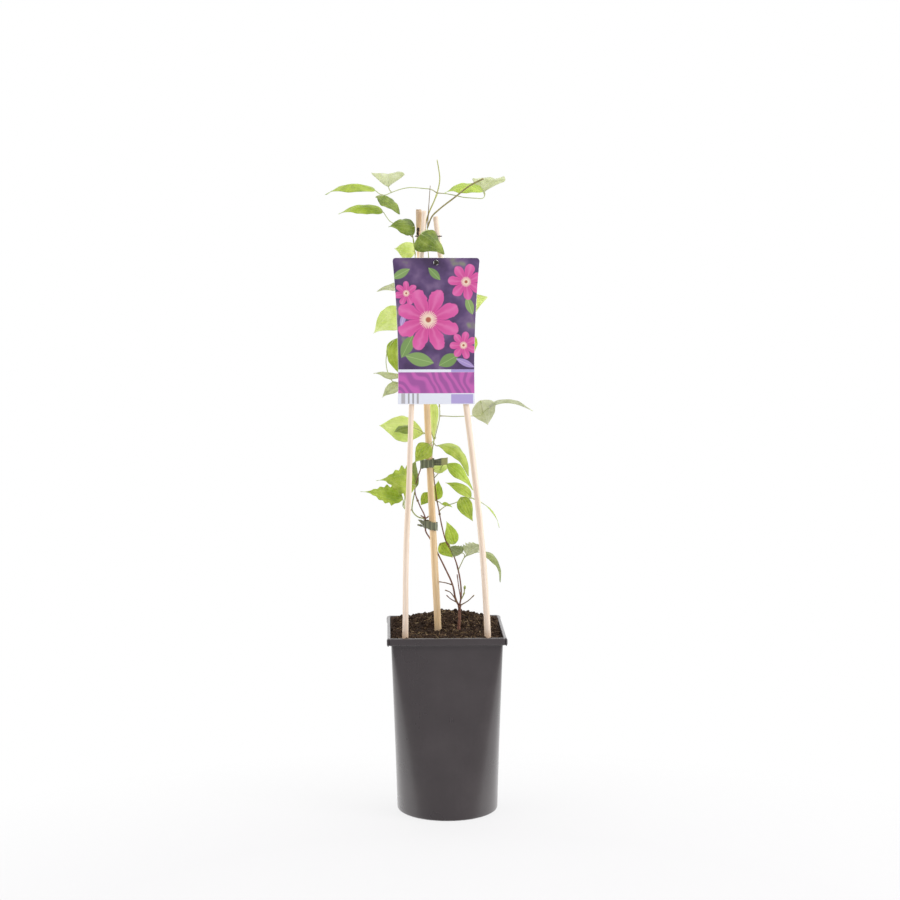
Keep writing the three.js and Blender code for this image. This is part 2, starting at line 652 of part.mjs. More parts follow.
        tip: [-83.5, -17, 392.5], face: [0.05, -0.85, 0.5], width: 38, arch: 0.19, fold: 0.1, belly: 0.55,
        point: 2.1, cut: true,
      },
      {
        stalk: [[-50, -9, 358], [-50, -5, 368], [-48, -2, 378]],
        tip: [-37, 3, 413], face: [-0.2, -0.95, 0.2], width: 24, arch: 0.06,
      },
    ],
  },
  {
    name: 'leaf_behind_tie', material: brightLeaf,
    leaflets: [
      {
        stalk: [[-11.7, 1.45, 364], [-12, 5, 365], [-14.9, 7, 366.5]],
        tip: [-10.2, 8, 389.5], face: [0.3, -1, 0], width: 16, arch: 0.05,
      },
      {
        stalk: [[-12, 5, 365], [-17, 8, 371], [-20, 8, 374.5]],
        tip: [-31, 11, 359.5], face: [0, -0.9, 0.4], width: 13, arch: 0.08,
      },
      {
        stalk: [[-12, 5, 365], [-9, 5, 364], [-6.5, 4, 362]],
        tip: [6, 1, 358.5], face: [0, -0.6, 0.8], width: 6, arch: 0.1,
      },
    ],
  },
  {
    name: 'frond_low_pale', material: paleLeaf,
    leaflets: [
      {
        stalk: [[-1.2, 3.1, 317.5], [4, 7, 317], [7.9, 8, 313.5]],
        tip: [-0.9, 6, 341.5], face: [0.35, -0.9, 0], width: 17, arch: 0.05, fold: 0.1,
      },
      {
        stalk: [[4, 7, 317], [-2, 9, 316], [-9, 9, 314]],
        tip: [6.7, 9, 297.5], face: [0, -0.95, 0.3], width: 16, arch: 0.06, fold: 0.1,
      },
    ],
  },
  {
    name: 'frond_low_right', material: greyLeaf,
    leaflets: [
      {
        stalk: [[13, 3, 284], [17, -2, 294], [20, -4, 300], [27, -13, 305], [35, -21, 309]],
        tip: [60.5, -27, 274], face: [0.75, -0.35, 0.6], width: 18, arch: 0.28, fold: -0.2,
      },
      {
        stalk: [[20, -4, 300], [19.5, -7, 304], [17, -9, 306]],
        tip: [2, -14, 314], face: [0.1, 0.85, 0.5], width: 18, arch: 0.15, fold: -0.3, cut: true,
      },
      {
        stalk: [[20, -4, 300], [21, -5, 301.5], [22, -6, 303]],
        tip: [40, -13, 316], face: [-0.3, 0.8, 0.6], width: 24, arch: 0.1, cut: true,
      },
    ],
  },
];

const seats = [...leafyStems(GAP), leader(GAP)];
FRONDS.forEach(({ name, material, leaflets }) => place(name, carve(frond(leaflets), seats), material));

// ---------------------------------------------------------------- bands round the canes
// A band is drawn as the tight loop round the rods that it gathers, each given as [x, y, radius] at its height.
// A tilt makes it rise to the right, about the middle of the canes.
const BAND_AIR = 0.45;
const TILT_MIDDLE = -22;

function loopRound(rods, offset) {
  const points = rods.flatMap(([x, y, radius]) => Array.from({ length: 12 }, (_, k) => {
    const angle = (2 * Math.PI * k) / 12;
    return new THREE.Vector2(x + (radius + offset) * Math.cos(angle), y + (radius + offset) * Math.sin(angle));
  }));
  points.sort((a, b) => a.x - b.x || a.y - b.y);
  const turn = (o, a, b) => (a.x - o.x) * (b.y - o.y) - (a.y - o.y) * (b.x - o.x);
  const half = (list) => {
    const chain = [];
    list.forEach((p) => {
      while (chain.length > 1 && turn(chain[chain.length - 2], chain[chain.length - 1], p) <= 1e-6) chain.pop();
      chain.push(p);
    });
    return chain.slice(0, -1);
  };
  return [...half(points), ...half([...points].reverse())];
}

function prism(outline, hole, foot, height, tilt) {
  const shape = new THREE.Shape(outline);
  if (hole) shape.holes.push(new THREE.Path(hole));
  const geometry = new THREE.ExtrudeGeometry(shape, { depth: height, bevelEnabled: false, steps: 1 });
  geometry.deleteAttribute('normal');
  geometry.deleteAttribute('uv');
  const slant = new THREE.Matrix4().set(1, 0, 0, 0, 0, 1, 0, 0, tilt, 0, 1, foot - tilt * TILT_MIDDLE, 0, 0, 0, 1);
  return mergeVertices(geometry.applyMatrix4(slant), 1e-4);
}

const band = (rods, thick, foot, height, tilt = 0) => prism(
  loopRound(rods, BAND_AIR + thick), loopRound(rods, BAND_AIR), foot, height, tilt);

// A flat tail of tape, pressed together, that stands out from its loop.
const tail = (from, to, thick, foot, height, tilt = 0) => {
  const start = new THREE.Vector2(...from);
  const end = new THREE.Vector2(...to);
  const across = end.clone().sub(start).rotateAround(new THREE.Vector2(), Math.PI / 2).setLength(thick / 2);
  const corners = [start.clone().sub(across), end.clone().sub(across), end.clone().add(across), start.clone().add(across)];
  return prism(corners, null, foot, height, tilt);
};

const LOWER_TAPE_FOOT = 334.3;
const LOWER_TAPE_TILT = -0.22;
const UPPER_TAPE_FOOT = 406.5;
const UPPER_TAPE_TILT = 0.12;
const CANE_TIE_FOOT = 672.2;
const CANE_TIE_THICK = 1;

place('tape_tie_lower', fuse([
  band([[-16.8, -5, 4.2], [-17.4, -6, 4.2], [-25.5, -2.6, 1.5], [-25.4, -6.6, 1.4]],
    TAPE_THICK, LOWER_TAPE_FOOT, TAPE_WIDTH, LOWER_TAPE_TILT),
  band([[-16.6, -5, 4.2], [-17.2, -5.8, 4.2]], TAPE_THICK, LOWER_TAPE_FOOT - 5, 8),
  tail([-27, -2.5], [-35, -1.5], 1.4, LOWER_TAPE_FOOT, TAPE_WIDTH - 7, LOWER_TAPE_TILT),
]), tapePlastic);
place('tape_tie_upper', fuse([
  band([[-20.7, -7.3, 4.1], [-21.3, -7.7, 4.1], [-31, -8.1, 1.7], [-17.5, -2.5, 1.2]],
    TAPE_THICK, UPPER_TAPE_FOOT, TAPE_WIDTH, UPPER_TAPE_TILT),
  tail([-16.5, -5.8], [0, -8], 1.4, UPPER_TAPE_FOOT + 0.3, TAPE_WIDTH - 0.6, UPPER_TAPE_TILT),
]), tapePlastic);
place('cane_tie', fuse([
  band([[-29, -24, 2.9], [-32.4, -13.4, 3.6], [-11.4, -18.9, 3.2], [-25.7, -10.9, 0.95]],
    CANE_TIE_THICK, CANE_TIE_FOOT, 1.4),
  tail([-33, -19.8], [-35, -23], 1.4, CANE_TIE_FOOT, 11),
]), tiePlastic);

// ---------------------------------------------------------------- label
// A thin tapered plate with round corners and waisted sides. It leans back against the front canes.
const LABEL_FOOT = [-13.8, -37.2, 482.5];
const LABEL_TOP_SHIFT = 7.6;      // how much further back the top edge is

function labelPlate() {
  const top = LABEL_TOP_WIDTH / 2;
  const foot = LABEL_FOOT_WIDTH / 2;
  const shape = new THREE.Shape();
  shape.moveTo(-foot + 1, 0);
  shape.lineTo(foot - 1, 0);
  shape.quadraticCurveTo(foot, 0, foot, 1);
  shape.quadraticCurveTo((top + foot) / 2 - LABEL_WAIST, 0.5 * LABEL_HEIGHT, top, LABEL_HEIGHT - LABEL_CORNER);
  shape.quadraticCurveTo(top, LABEL_HEIGHT, top - LABEL_CORNER, LABEL_HEIGHT);
  shape.lineTo(LABEL_CORNER - top, LABEL_HEIGHT);
  shape.quadraticCurveTo(-top, LABEL_HEIGHT, -top, LABEL_HEIGHT - LABEL_CORNER);
  shape.quadraticCurveTo(LABEL_WAIST - (top + foot) / 2, 0.5 * LABEL_HEIGHT, -foot, 1);
  shape.quadraticCurveTo(-foot, 0, -foot + 1, 0);
  const hole = new THREE.Path();
  hole.absarc(0, LABEL_HEIGHT - LABEL_HOLE_DROP, LABEL_HOLE_RADIUS, 0, 2 * Math.PI, true);
  shape.holes.push(hole);
  return new THREE.ExtrudeGeometry(shape, { depth: LABEL_THICK, bevelEnabled: false, curveSegments: 5 });
}

const label = new THREE.Mesh(labelPlate(), labelPlastic);
label.name = 'label';
label.position.set(...LABEL_FOOT);
label.rotation.x = Math.PI / 2 - Math.asin(LABEL_TOP_SHIFT / LABEL_HEIGHT);
object.add(label);

// The black tie runs round the right cane, and its two ends come forward through the hole and meet in front.
const LABEL_TIE_ROUTE = [
  [-14.9, -31.5, 642.6], [-14.9, -28.5, 642.4], [-14.5, -24, 642.4], [-12.4, -18.8, 642.6], [-8, -16.7, 643],
  [-3.3, -18.2, 643.2], [-2.4, -22.5, 643.4], [-5.2, -26.3, 643.4], [-10, -27.8, 643.4], [-12.6, -29.5, 643.4],
  [-12.7, -31.5, 643.4], [-13.8, -32.4, 643],
];
const LABEL_TIE_RADIUS = 0.9;
const LABEL_TIE_STEPS = 30;
const LABEL_TIE_SIDES = 6;

function hoop(route, radius) {
  const curve = new THREE.CatmullRomCurve3(route.map(vec), true, 'centripetal');
  const frames = curve.computeFrenetFrames(LABEL_TIE_STEPS, true);
  const points = [];
  const faces = [];
  for (let i = 0; i < LABEL_TIE_STEPS; i += 1) {
    const centre = curve.getPointAt(i / LABEL_TIE_STEPS);
    for (let k = 0; k < LABEL_TIE_SIDES; k += 1) {
      const angle = (2 * Math.PI * k) / LABEL_TIE_SIDES;
      points.push(centre.clone()
        .addScaledVector(frames.normals[i], radius * Math.cos(angle))
        .addScaledVector(frames.binormals[i], radius * Math.sin(angle)));
      const next = (i + 1) % LABEL_TIE_STEPS;
      const beside = (k + 1) % LABEL_TIE_SIDES;
      const [a, b] = [i * LABEL_TIE_SIDES + k, i * LABEL_TIE_SIDES + beside];
      const [c, d] = [next * LABEL_TIE_SIDES + beside, next * LABEL_TIE_SIDES + k];
      faces.push([a, b, c], [a, c, d]);
    }
  }
  return meshOf(points, faces);
}

place('label_tie', hoop(LABEL_TIE_ROUTE, LABEL_TIE_RADIUS), tiePlastic);

export default object;
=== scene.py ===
import math
import random
from functools import partial
import bpy
import numpy as np
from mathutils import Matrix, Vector, geometry, noise


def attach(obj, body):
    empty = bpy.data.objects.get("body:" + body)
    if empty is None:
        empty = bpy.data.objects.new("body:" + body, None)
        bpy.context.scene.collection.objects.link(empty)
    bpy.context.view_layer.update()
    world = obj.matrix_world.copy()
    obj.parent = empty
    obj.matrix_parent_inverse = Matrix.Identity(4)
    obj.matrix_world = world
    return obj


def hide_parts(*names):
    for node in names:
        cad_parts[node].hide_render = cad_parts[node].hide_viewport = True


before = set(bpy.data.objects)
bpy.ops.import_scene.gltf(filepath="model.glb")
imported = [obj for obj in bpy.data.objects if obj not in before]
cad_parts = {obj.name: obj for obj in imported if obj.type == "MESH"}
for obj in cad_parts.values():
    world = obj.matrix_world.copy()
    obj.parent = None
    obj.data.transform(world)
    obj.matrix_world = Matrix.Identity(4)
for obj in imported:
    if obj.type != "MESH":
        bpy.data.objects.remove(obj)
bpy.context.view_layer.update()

# ---------------------------------------------------------------- camera
# The camera stands a good two metres away, a little to the left and near the plant's top, and looks
# slightly down at it through a long lens, so that all of the plant is seen almost without perspective.
eye = bpy.data.cameras.new("camera")
eye.lens, eye.sensor_width = 72, 36
camera = bpy.data.objects.new("camera", eye)
camera.location = (-0.0697, -2.0828, 0.649)
camera.rotation_euler = (math.radians(83.89), 0, math.radians(-2.0))
bpy.context.collection.objects.link(camera)
bpy.context.scene.camera = camera

# ---------------------------------------------------------------- pot
# A nursery pot blown in dark grey plastic: round at the foot, square at the mouth, with a stiff
# turned-down rim that steps out at the corners. Six holes in the floor let the water out.
MM = 0.001
POT_HEIGHT = 217
NECK = 208.8                      # where the wall meets the rim
FOOT_HALF, NECK_HALF, RIM_HALF = 59.4, 64, 68.3
NECK_CORNER, RIM_CORNER = 3, 5    # radii of the round corners
LEAN = -2.4                       # the soft wall leans sideways
RIM_WIDTH, POT_WALL, POT_FLOOR = 3.8, 1.6, 2.4
POT_SIDES = 192
DRAIN_HOLES, DRAIN_CIRCLE, DRAIN_RADIUS = 6, 41, 5
CIRCLE = 2 * np.pi


class Build:
    """Gathers the points and faces of one piece, in millimetres, with what its finish reads from them.

    lie is each point's place on the flattened piece, and share its place between the piece's limits.
    """

    def __init__(self):
        self.points, self.lie, self.share, self.faces, self.looks = [], [], [], [], []
        self.count = 0

    def add(self, points, faces, lie=None, share=None, look=0):
        points = np.asarray(points, float)
        self.points.append(points)
        self.lie.append(points if lie is None else np.asarray(lie, float))
        self.share.append(np.zeros_like(points) if share is None else np.asarray(share, float))
        self.faces += [tuple(self.count + k for k in face) for face in faces]
        self.looks += [look] * len(faces)
        self.count += len(points)

    def piece(self, name, *materials, smooth=True):
        mesh = bpy.data.meshes.new(name)
        mesh.from_pydata((np.concatenate(self.points) * MM).tolist(), [], self.faces)
        for label, values in (("lie", self.lie), ("share", self.share)):
            mesh.attributes.new(label, "FLOAT_VECTOR", "POINT").data.foreach_set(
                "vector", np.concatenate(values).astype(np.float32).ravel())
        for material in materials:
            mesh.materials.append(material)
        mesh.polygons.foreach_set("material_index", self.looks)
        mesh.polygons.foreach_set("use_smooth", [smooth] * len(mesh.polygons))
        mesh.update()
        made = bpy.data.objects.new(name, mesh)
        bpy.context.collection.objects.link(made)
        return made


def fit(piece, slot, *nodes):
    """The piece takes the place of these solids, if any. The slot is not used."""
    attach(piece, "root")
    if nodes:
        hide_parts(*nodes)


def skin(rows, around):
    """Faces over rows of points, each row a closed ring, with the two ends left open."""
    rings = [(r * around + k, r * around + (k + 1) % around) for r in range(rows - 1) for k in range(around)]
    return [(a, b, b + around, a + around) for a, b in rings]


def polar(angles):
    return np.column_stack([np.cos(angles), np.sin(angles)])


def square_ring(half, corner, z):
    """A square with round corners, where the wall stands at this height. Large corners make it a circle."""
    quarter = POT_SIDES // 4
    arc = half - corner + corner * polar(np.linspace(0, np.pi / 2, quarter // 2 + 1))
    flat = np.linspace(arc[-1], (corner - half, half), quarter - len(arc) + 1, endpoint=False)[1:]
    side = np.concatenate([arc, flat])
    ring = np.concatenate([side, side[:, ::-1] * (-1, 1), -side, side[:, ::-1] * (1, -1)])
    return np.column_stack([ring + (LEAN * z / NECK, 0), np.full(POT_SIDES, z)])


def pot_ring(z, inset):
    half = FOOT_HALF + (NECK_HALF - FOOT_HALF) * (z / NECK) ** 1.2
    corner = FOOT_HALF + (NECK_CORNER - FOOT_HALF) * (z / NECK)
    return square_ring(half - inset, min(corner, half - 1) - inset, z)


def rim_ring(z, inset):
    return square_ring(RIM_HALF - inset, max(RIM_CORNER - inset, 0.6), z)


def filled(loops):
    """The points and faces of a flat sheet between its outline and its holes."""
    cover = geometry.tessellate_polygon([[Vector((*p, 0)) for p in loop] for loop in loops])
    return np.concatenate(loops), [tuple(face) for face in cover]


def paint(colour):
    """A colour named as on a paint chart, by six hexadecimal digits. Any other is passed on."""
    if not isinstance(colour, str):
        return colour
    parts = [int(colour[k:k + 2], 16) / 255 for k in (0, 2, 4)]
    return (*[c / 12.92 if c <= 0.04045 else ((c + 0.055) / 1.055) ** 2.4 for c in parts], 1)


def put(tree, kind, sockets=(), **settings):
    """Adds a node and gives its outputs. A socket given as another node's output is linked to it."""
    node = tree.nodes.new("ShaderNode" + kind)
    for key, value in settings.items():
        setattr(node, key, value)
    for key, value in dict(sockets).items():
        if isinstance(value, bpy.types.NodeSocket):
            tree.links.new(value, node.inputs[key])
        else:
            node.inputs[key].default_value = value
    return node.outputs


def calc(operation, *values, clamp=False):
    """A sum worked out by a node. At least one of its values comes from another node."""
    tree = next(value.id_data for value in values if isinstance(value, bpy.types.NodeSocket))
    return put(tree, "Math", enumerate(values), operation=operation, use_clamp=clamp)[0]


times = partial(calc, "MULTIPLY")
linear = partial(calc, "MULTIPLY_ADD")      # the first times the second, plus the third


def mingled(first, second, share):
    """This share of the first and the rest of the second."""
    return linear(first, share, times(second, 1 - share))


def between(share, first, second):
    """A colour part of the way from the first to the second."""
    return put(share.id_data, "Mix", {0: share, 6: paint(first), 7: paint(second)}, data_type="RGBA")[2]


def tones(share, *stops):
    """Colours picked along a scale from 0 to 1. The stops are a place and a colour in turn."""
    ramp = put(share.id_data, "ValToRGB", {"Fac": share})[0]
    places, colours = stops[::2], [paint(colour) for colour in stops[1::2]]
    marks = ramp.node.color_ramp.elements
    marks[0].position, marks[0].color = places[0], colours[0]
    marks[1].position, marks[1].color = places[-1], colours[-1]
    for place, colour in zip(places[1:-1], colours[1:-1]):
        marks.new(place).color = colour
    return ramp


def speckle(vector, scale, detail=2.0, roughness=0.5):
    """Cloudy noise, most of it between 0.3 and 0.7."""
    return put(vector.id_data, "TexNoise",
               {"Vector": vector, "Scale": scale, "Detail": detail, "Roughness": roughness})[0]


def space(tree):
    """The place on the piece, in metres."""
    return put(tree, "TexCoord")["Object"]


def finish(name, **sockets):
    """A new finish, with the values that are the same all over the piece."""
    material = bpy.data.materials.new(name)
    material.use_nodes = True
    shader = material.node_tree.nodes["Principled BSDF"]
    for key, value in sockets.items():
        shader.inputs[key.replace("_", " ")].default_value = value
    return material, material.node_tree, shader


def dress(shader, colour, rough=None, relief=None, strength=0.5, depth=0.0005):
    """Gives a finish the colour, the roughness and the fine relief that vary over the piece."""
    links = shader.id_data.links
    links.new(colour, shader.inputs["Base Color"])
    if rough is not None:
        links.new(rough, shader.inputs["Roughness"])
    if relief is not None:
        bump = put(shader.id_data, "Bump", {"Height": relief, "Strength": strength, "Distance": depth})
        links.new(bump[0], shader.inputs["Normal"])


def effect(name, inputs, make):
    """An effect that several finishes share. make(tree, given) works out its outputs by name."""
    tree = bpy.data.node_groups.new(name, "ShaderNodeTree")
    for key, value in inputs.items():
        tree.interface.new_socket(key, in_out="INPUT", socket_type="NodeSocketFloat").default_value = value
    made = make(tree, tree.nodes.new("NodeGroupInput").outputs)
    for key in made:
        tree.interface.new_socket(key, in_out="OUTPUT", socket_type="NodeSocketFloat")
    ends = tree.nodes.new("NodeGroupOutput").inputs
    for key, value in made.items():
        tree.links.new(value, ends[key])
    return tree


def use(tree, shared, **given):
    return put(tree, "Group", given, node_tree=shared)


def moulded(tree, given):
    """Moulded plastic: cloudy where it cooled unevenly, finely pitted, and dusty in patches."""
    here = space(tree)
    return {"Clouds": speckle(here, 22.0, 3.0), "Pits": speckle(here, times(given["Grain"], 1400.0)),
            "Dust": linear(speckle(here, 420.0, 4.0, 0.7), 5.0, -3.1, clamp=True)}


moulding = effect("moulded plastic", {"Grain": 1.0}, moulded)
pot_plastic, tree, shader = finish("pot_plastic", Specular_IOR_Level=0.8)
plastic = use(tree, moulding)
drawn = put(tree, "Mapping", {"Vector": space(tree), "Scale": (320, 320, 9)})[0]
streaks = speckle(drawn, 1.0, 3.0)
shade = mingled(streaks, plastic["Clouds"], 0.12)
plain = tones(shade, 0.3, "322b2c", 0.5, "373031", 0.72, "3e3738")
dress(shader, between(times(plastic["Dust"], 0.05), plain, "9c938c"), linear(shade, 0.14, 0.22),
      linear(streaks, 0.15, times(plastic["Pits"], 0.5)), 0.03, 0.0006)

pot = Build()
outside = [(0.0, 2.2), (0.25, 1.2), (0.9, 0.35), (1.9, 0.0)] + [(z, 0.0) for z in np.linspace(6, 206, 46)]
rim = [(207.6, 4.6), (208.3, 3.2), (208.6, 1.2), (209.2, 0.35), (210.2, 0.0), (213, 0.0), (215.8, 0.05),
       (216.6, 0.3), (217, 0.95), (217, 2.9), (216.7, 3.5), (216, RIM_WIDTH), (213, RIM_WIDTH),
       (210.5, RIM_WIDTH)]
inside = [(z, POT_WALL) for z in (206, 190, 160, 120, 80, 40, 8, 4)] + [(POT_FLOOR, 3.2)]
wall = [ring(z, inset) for ring, rows in ((pot_ring, outside), (rim_ring, rim), (pot_ring, inside))
        for z, inset in rows]
pot.add(np.concatenate(wall), skin(len(wall), POT_SIDES))

loops = [pot_ring(POT_FLOOR, 3.0)[::4, :2]]        # the floor's outline and its holes
for turn in CIRCLE * (np.arange(DRAIN_HOLES) + 0.5) / DRAIN_HOLES:
    edge = polar(np.linspace(0, -CIRCLE, 24, endpoint=False))
    loops.append(DRAIN_CIRCLE * polar([turn]) + DRAIN_RADIUS * edge)
flat, cover = filled(loops)
faces = cover + [tuple(k + len(flat) for k in reversed(face)) for face in cover]
for first, size in zip(np.cumsum([0] + [len(loop) for loop in loops]).tolist(), map(len, loops)):
    edge = [(first + k, first + (k + 1) % size) for k in range(size)]
    faces += [(a, b, b + len(flat), a + len(flat)) for a, b in edge]
pot.add(np.concatenate([np.insert(flat, 2, z, axis=1) for z in (0.25, POT_FLOOR)]), faces)

EAR = [(208.2, -0.8), (209.4, 0.3), (210.2, 0.6), (215.0, 0.6), (215.7, 0.3), (216.2, -0.8)]
for sx, sy in ((-1, -1), (-1, 1), (1, -1), (1, 1)):      # a stiff ear stands out from each corner of the rim
    loops = []
    for z, out in EAR:
        loops += [(LEAN * z / NECK + sx * (RIM_HALF + x), sy * (RIM_HALF + y), z) for x, y in (
            (-1.5, -0.3), (-0.6, -0.25), (0.5 * out, -0.7), (out, -1.6), (out, -6.5), (0.6 * out, -8),
            (-0.6, -8.4), (-1.5, -8.4))]
    faces = skin(len(EAR), 8) + [tuple(range(8)), tuple(8 * len(EAR) - 1 - k for k in range(8))]
    pot.add(loops, [face[::-1] for face in faces] if sx * sy < 0 else faces)
fit(pot.piece("pot_shell", pot_plastic), "pot_plastic", "pot")

# ---------------------------------------------------------------- compost
# Dark, crumbly compost of peat and bark fills the pot. It is heaped up behind the middle, and a few
# thousand loose crumbs and torn light-brown fibres lie on it.
SOIL_EDGE, SOIL_BACK_RISE, SOIL_CROWN = 212.6, 3, 13
SOIL_HALF = RIM_HALF - RIM_WIDTH - 0.3
SOIL_FOOT = 2.7
STANDING = [(-50, -44, 3.6), (-11, -3, 4.4), (45, -46, 3.9), (13, -4, 1.8)]   # what comes up through it


def soil_height(x, y):
    t = np.clip((y + 10) / 65, 0, 1)
    heap = SOIL_CROWN * np.exp(-(((x - 4) / 44) ** 2 + ((y - 36) / 26) ** 2))
    lumps = 0.6 * np.sin(0.31 * x + 0.4 * y) + 0.6 * np.sin(0.43 * x - 0.27 * y + 1.7)
    return SOIL_EDGE + SOIL_BACK_RISE * t * t * (3 - 2 * t) + heap + lumps


def soil_relief(x, y):
    """How far the loose surface stands over the smooth heap."""
    coarse = noise.fractal(Vector((x * 0.16, y * 0.16, 3.1)), 1.0, 2.1, 3)
    return 1.25 * coarse + 0.55 * noise.noise(Vector((x * 0.85, y * 0.85, 7.7))) - 0.35


def closed_skin(rows, around):
    """A skin whose ends are closed by fans to two more points, the foot's middle and the head's."""
    foot, last = rows * around, (rows - 1) * around
    ring = [(k, (k + 1) % around) for k in range(around)]
    return (skin(rows, around) + [(foot, b, a) for a, b in ring]
            + [(foot + 1, last + a, last + b) for a, b in ring])


compost, tree, shader = finish("compost", Roughness=0.95, Specular_IOR_Level=0.15)
here = space(tree)
crumb = speckle(here, 620.0, 5.0, 0.7)
dress(shader, tones(mingled(crumb, speckle(here, 95.0, 6.0, 0.65), 0.6),
                    0.36, "1c1411", 0.49, "35281f", 0.58, "4c3b2d", 0.72, "7d664c"),
      relief=crumb, strength=0.9, depth=0.0012)

heap = Build()
rows = [pot_ring(z, POT_WALL + 0.3) for z in (SOIL_FOOT, 50, 105, 160, 206.8)]
rows.append(square_ring(SOIL_HALF, 0.03 * SOIL_HALF, 210.8))
for share in np.linspace(1, 0.03, 62):
    ring = square_ring(SOIL_HALF * share, SOIL_HALF * share * (0.96 - 0.93 * share ** 3), POT_HEIGHT)
    rough = np.array([soil_relief(x, y) for x, y, _ in ring])
    ring[:, 2] = soil_height(ring[:, 0], ring[:, 1]) + rough * min(1, (1.02 - share) * 22)
    rows.append(ring)
heap.add(np.concatenate(rows + [[(0, 0, SOIL_FOOT), (0, 0, soil_height(0, 0))]]),
         closed_skin(len(rows), POT_SIDES))
fit(heap.piece("compost_heap", compost), "soil", "soil")


def round_lump(level):
    """The corners and faces of a ball of triangles, to be squeezed into crumbs."""
    t = (1 + math.sqrt(5)) / 2
    points = [Vector(p).normalized() for p in (
        (-1, t, 0), (1, t, 0), (-1, -t, 0), (1, -t, 0), (0, -1, t), (0, 1, t), (0, -1, -t), (0, 1, -t),
        (t, 0, -1), (t, 0, 1), (-t, 0, -1), (-t, 0, 1))]
    faces = [(0, 11, 5), (0, 5, 1), (0, 1, 7), (0, 7, 10), (0, 10, 11), (1, 5, 9), (5, 11, 4), (11, 10, 2),
             (10, 7, 6), (7, 1, 8), (3, 9, 4), (3, 4, 2), (3, 2, 6), (3, 6, 8), (3, 8, 9), (4, 9, 5),
             (2, 4, 11), (6, 2, 10), (8, 6, 7), (9, 8, 1)]
    for _ in range(level):
        middle, finer = {}, []
        for a, b, c in faces:
            for p, q in ((a, b), (b, c), (c, a)):
                if (min(p, q), max(p, q)) not in middle:
                    middle[min(p, q), max(p, q)] = len(points)
                    points.append((points[p] + points[q]).normalized())
            ab, bc, ca = (middle[min(p, q), max(p, q)] for p, q in ((a, b), (b, c), (c, a)))
            finer += [(a, ab, ca), (b, bc, ab), (c, ca, bc), (ab, bc, ca)]
        faces = finer
    return np.array([p[:] for p in points]), faces


def crumbs(name, amount, small, large, level, seed):
    """Loose crumbs strewn over the heap, the smaller the more of them."""
    chance = np.random.default_rng(seed)
    ball, faces = round_lump(level)
    build = Build()
    while amount:
        size = small + (large - small) * chance.random() ** 3
        x, y = chance.uniform(-1, 1, 2) * (SOIL_HALF - 0.8 - size)
        x += LEAN
        edge = (abs(x - LEAN) / (SOIL_HALF - size)) ** 6 + (abs(y) / (SOIL_HALF - size)) ** 6
        if edge > 1 or any(math.hypot(x - a, y - b) < r + 0.75 * size for a, b, r in STANDING):
            continue
        turn = np.linalg.qr(chance.normal(size=(3, 3)))[0]
        bumps = 1 + 0.3 * np.sin(ball @ chance.normal(0, 3.2, (3, 2)) + chance.uniform(0, 6, 2)).sum(1) / 2
        lump = (ball * bumps[:, None] * chance.uniform(0.55, 1.15, 3)) @ turn.T * size
        z = soil_height(x, y) + soil_relief(x, y) + size * chance.uniform(-0.1, 0.45)
        build.add(lump + (x, y, z), faces)
        amount -= 1
    fit(build.piece(name, compost), "soil")


crumbs("compost_lumps", 1500, 0.9, 3.1, 1, 11)
crumbs("compost_crumbs", 4200, 0.45, 1.3, 0, 12)


def unit(vectors):
    return vectors / np.linalg.norm(vectors, axis=-1, keepdims=True)


def evenly(curve, count, endpoint=True):
    """Points spaced evenly along a curve, and how far along it each of them is."""
    run = np.concatenate([[0], np.cumsum(np.linalg.norm(np.diff(curve, axis=0), axis=1))])
    at = np.linspace(0, run[-1], count, endpoint=endpoint)
    return np.stack([np.interp(at, run, column) for column in curve.T], 1), at


def smooth_route(route, steps):
    """Evenly spaced points along a soft curve through the route's points, and the curve's length."""
    p = np.asarray(route, float)
    p = np.concatenate([[2 * p[0] - p[1]], p, [2 * p[-1] - p[-2]]])
    t = np.linspace(0, 1, 17)[:, None]
    curve = []
    for a, b, c, d in zip(p, p[1:], p[2:], p[3:]):
        ab, bc, cd = (max(np.linalg.norm(q - r) ** 0.5, 1e-4) for q, r in ((b, a), (c, b), (d, c)))
        start = ((b - a) / ab - (c - a) / (ab + bc) + (c - b) / bc) * bc
        end = ((c - b) / bc - (d - b) / (bc + cd) + (d - c) / cd) * bc
        curve.append((b + start * t + (3 * (c - b) - 2 * start - end) * t ** 2
                      + (2 * (b - c) + start + end) * t ** 3)[:-1])
    points, at = evenly(np.concatenate(curve + [p[-2:-1]]), steps + 1)
    return points, at[-1]


def rod(build, route, thickness, around=12, steps=40, look=0, relief=None, mark=0.0):
    """A round rod along a route. thickness(t) is its radius and relief(t, angle) a share added to that."""
    middle, length = smooth_route(route, steps)
    ahead = unit(np.gradient(middle, axis=0))
    side = np.cross(ahead[0], (0.31, 0.9, 0.3) if abs(ahead[0][1]) < 0.8 else (1, 0, 0))
    turn = np.linspace(0, CIRCLE, around, endpoint=False)
    points, lie, share = [], [], []
    for k, (centre, forward) in enumerate(zip(middle, ahead)):
        side = unit(side - forward * side.dot(forward))
        t = k / steps
        radius = thickness(t) * (1 + (relief(t, turn) if relief else 0))
        x, y = np.cos(turn) * radius, np.sin(turn) * radius
        points.append(centre + np.outer(x, side) + np.outer(y, np.cross(forward, side)))
        lie.append(np.column_stack([x, y, np.full(around, t * length)]))
        share.append(np.tile([t, mark, 0], (around, 1)))
    build.add(np.concatenate(points + [middle[[0, -1]]]), closed_skin(len(points), around),
              np.concatenate(lie + [[(0, 0, 0), (0, 0, length)]]),
              np.concatenate(share + [[(0, mark, 0), (1, mark, 0)]]), look)


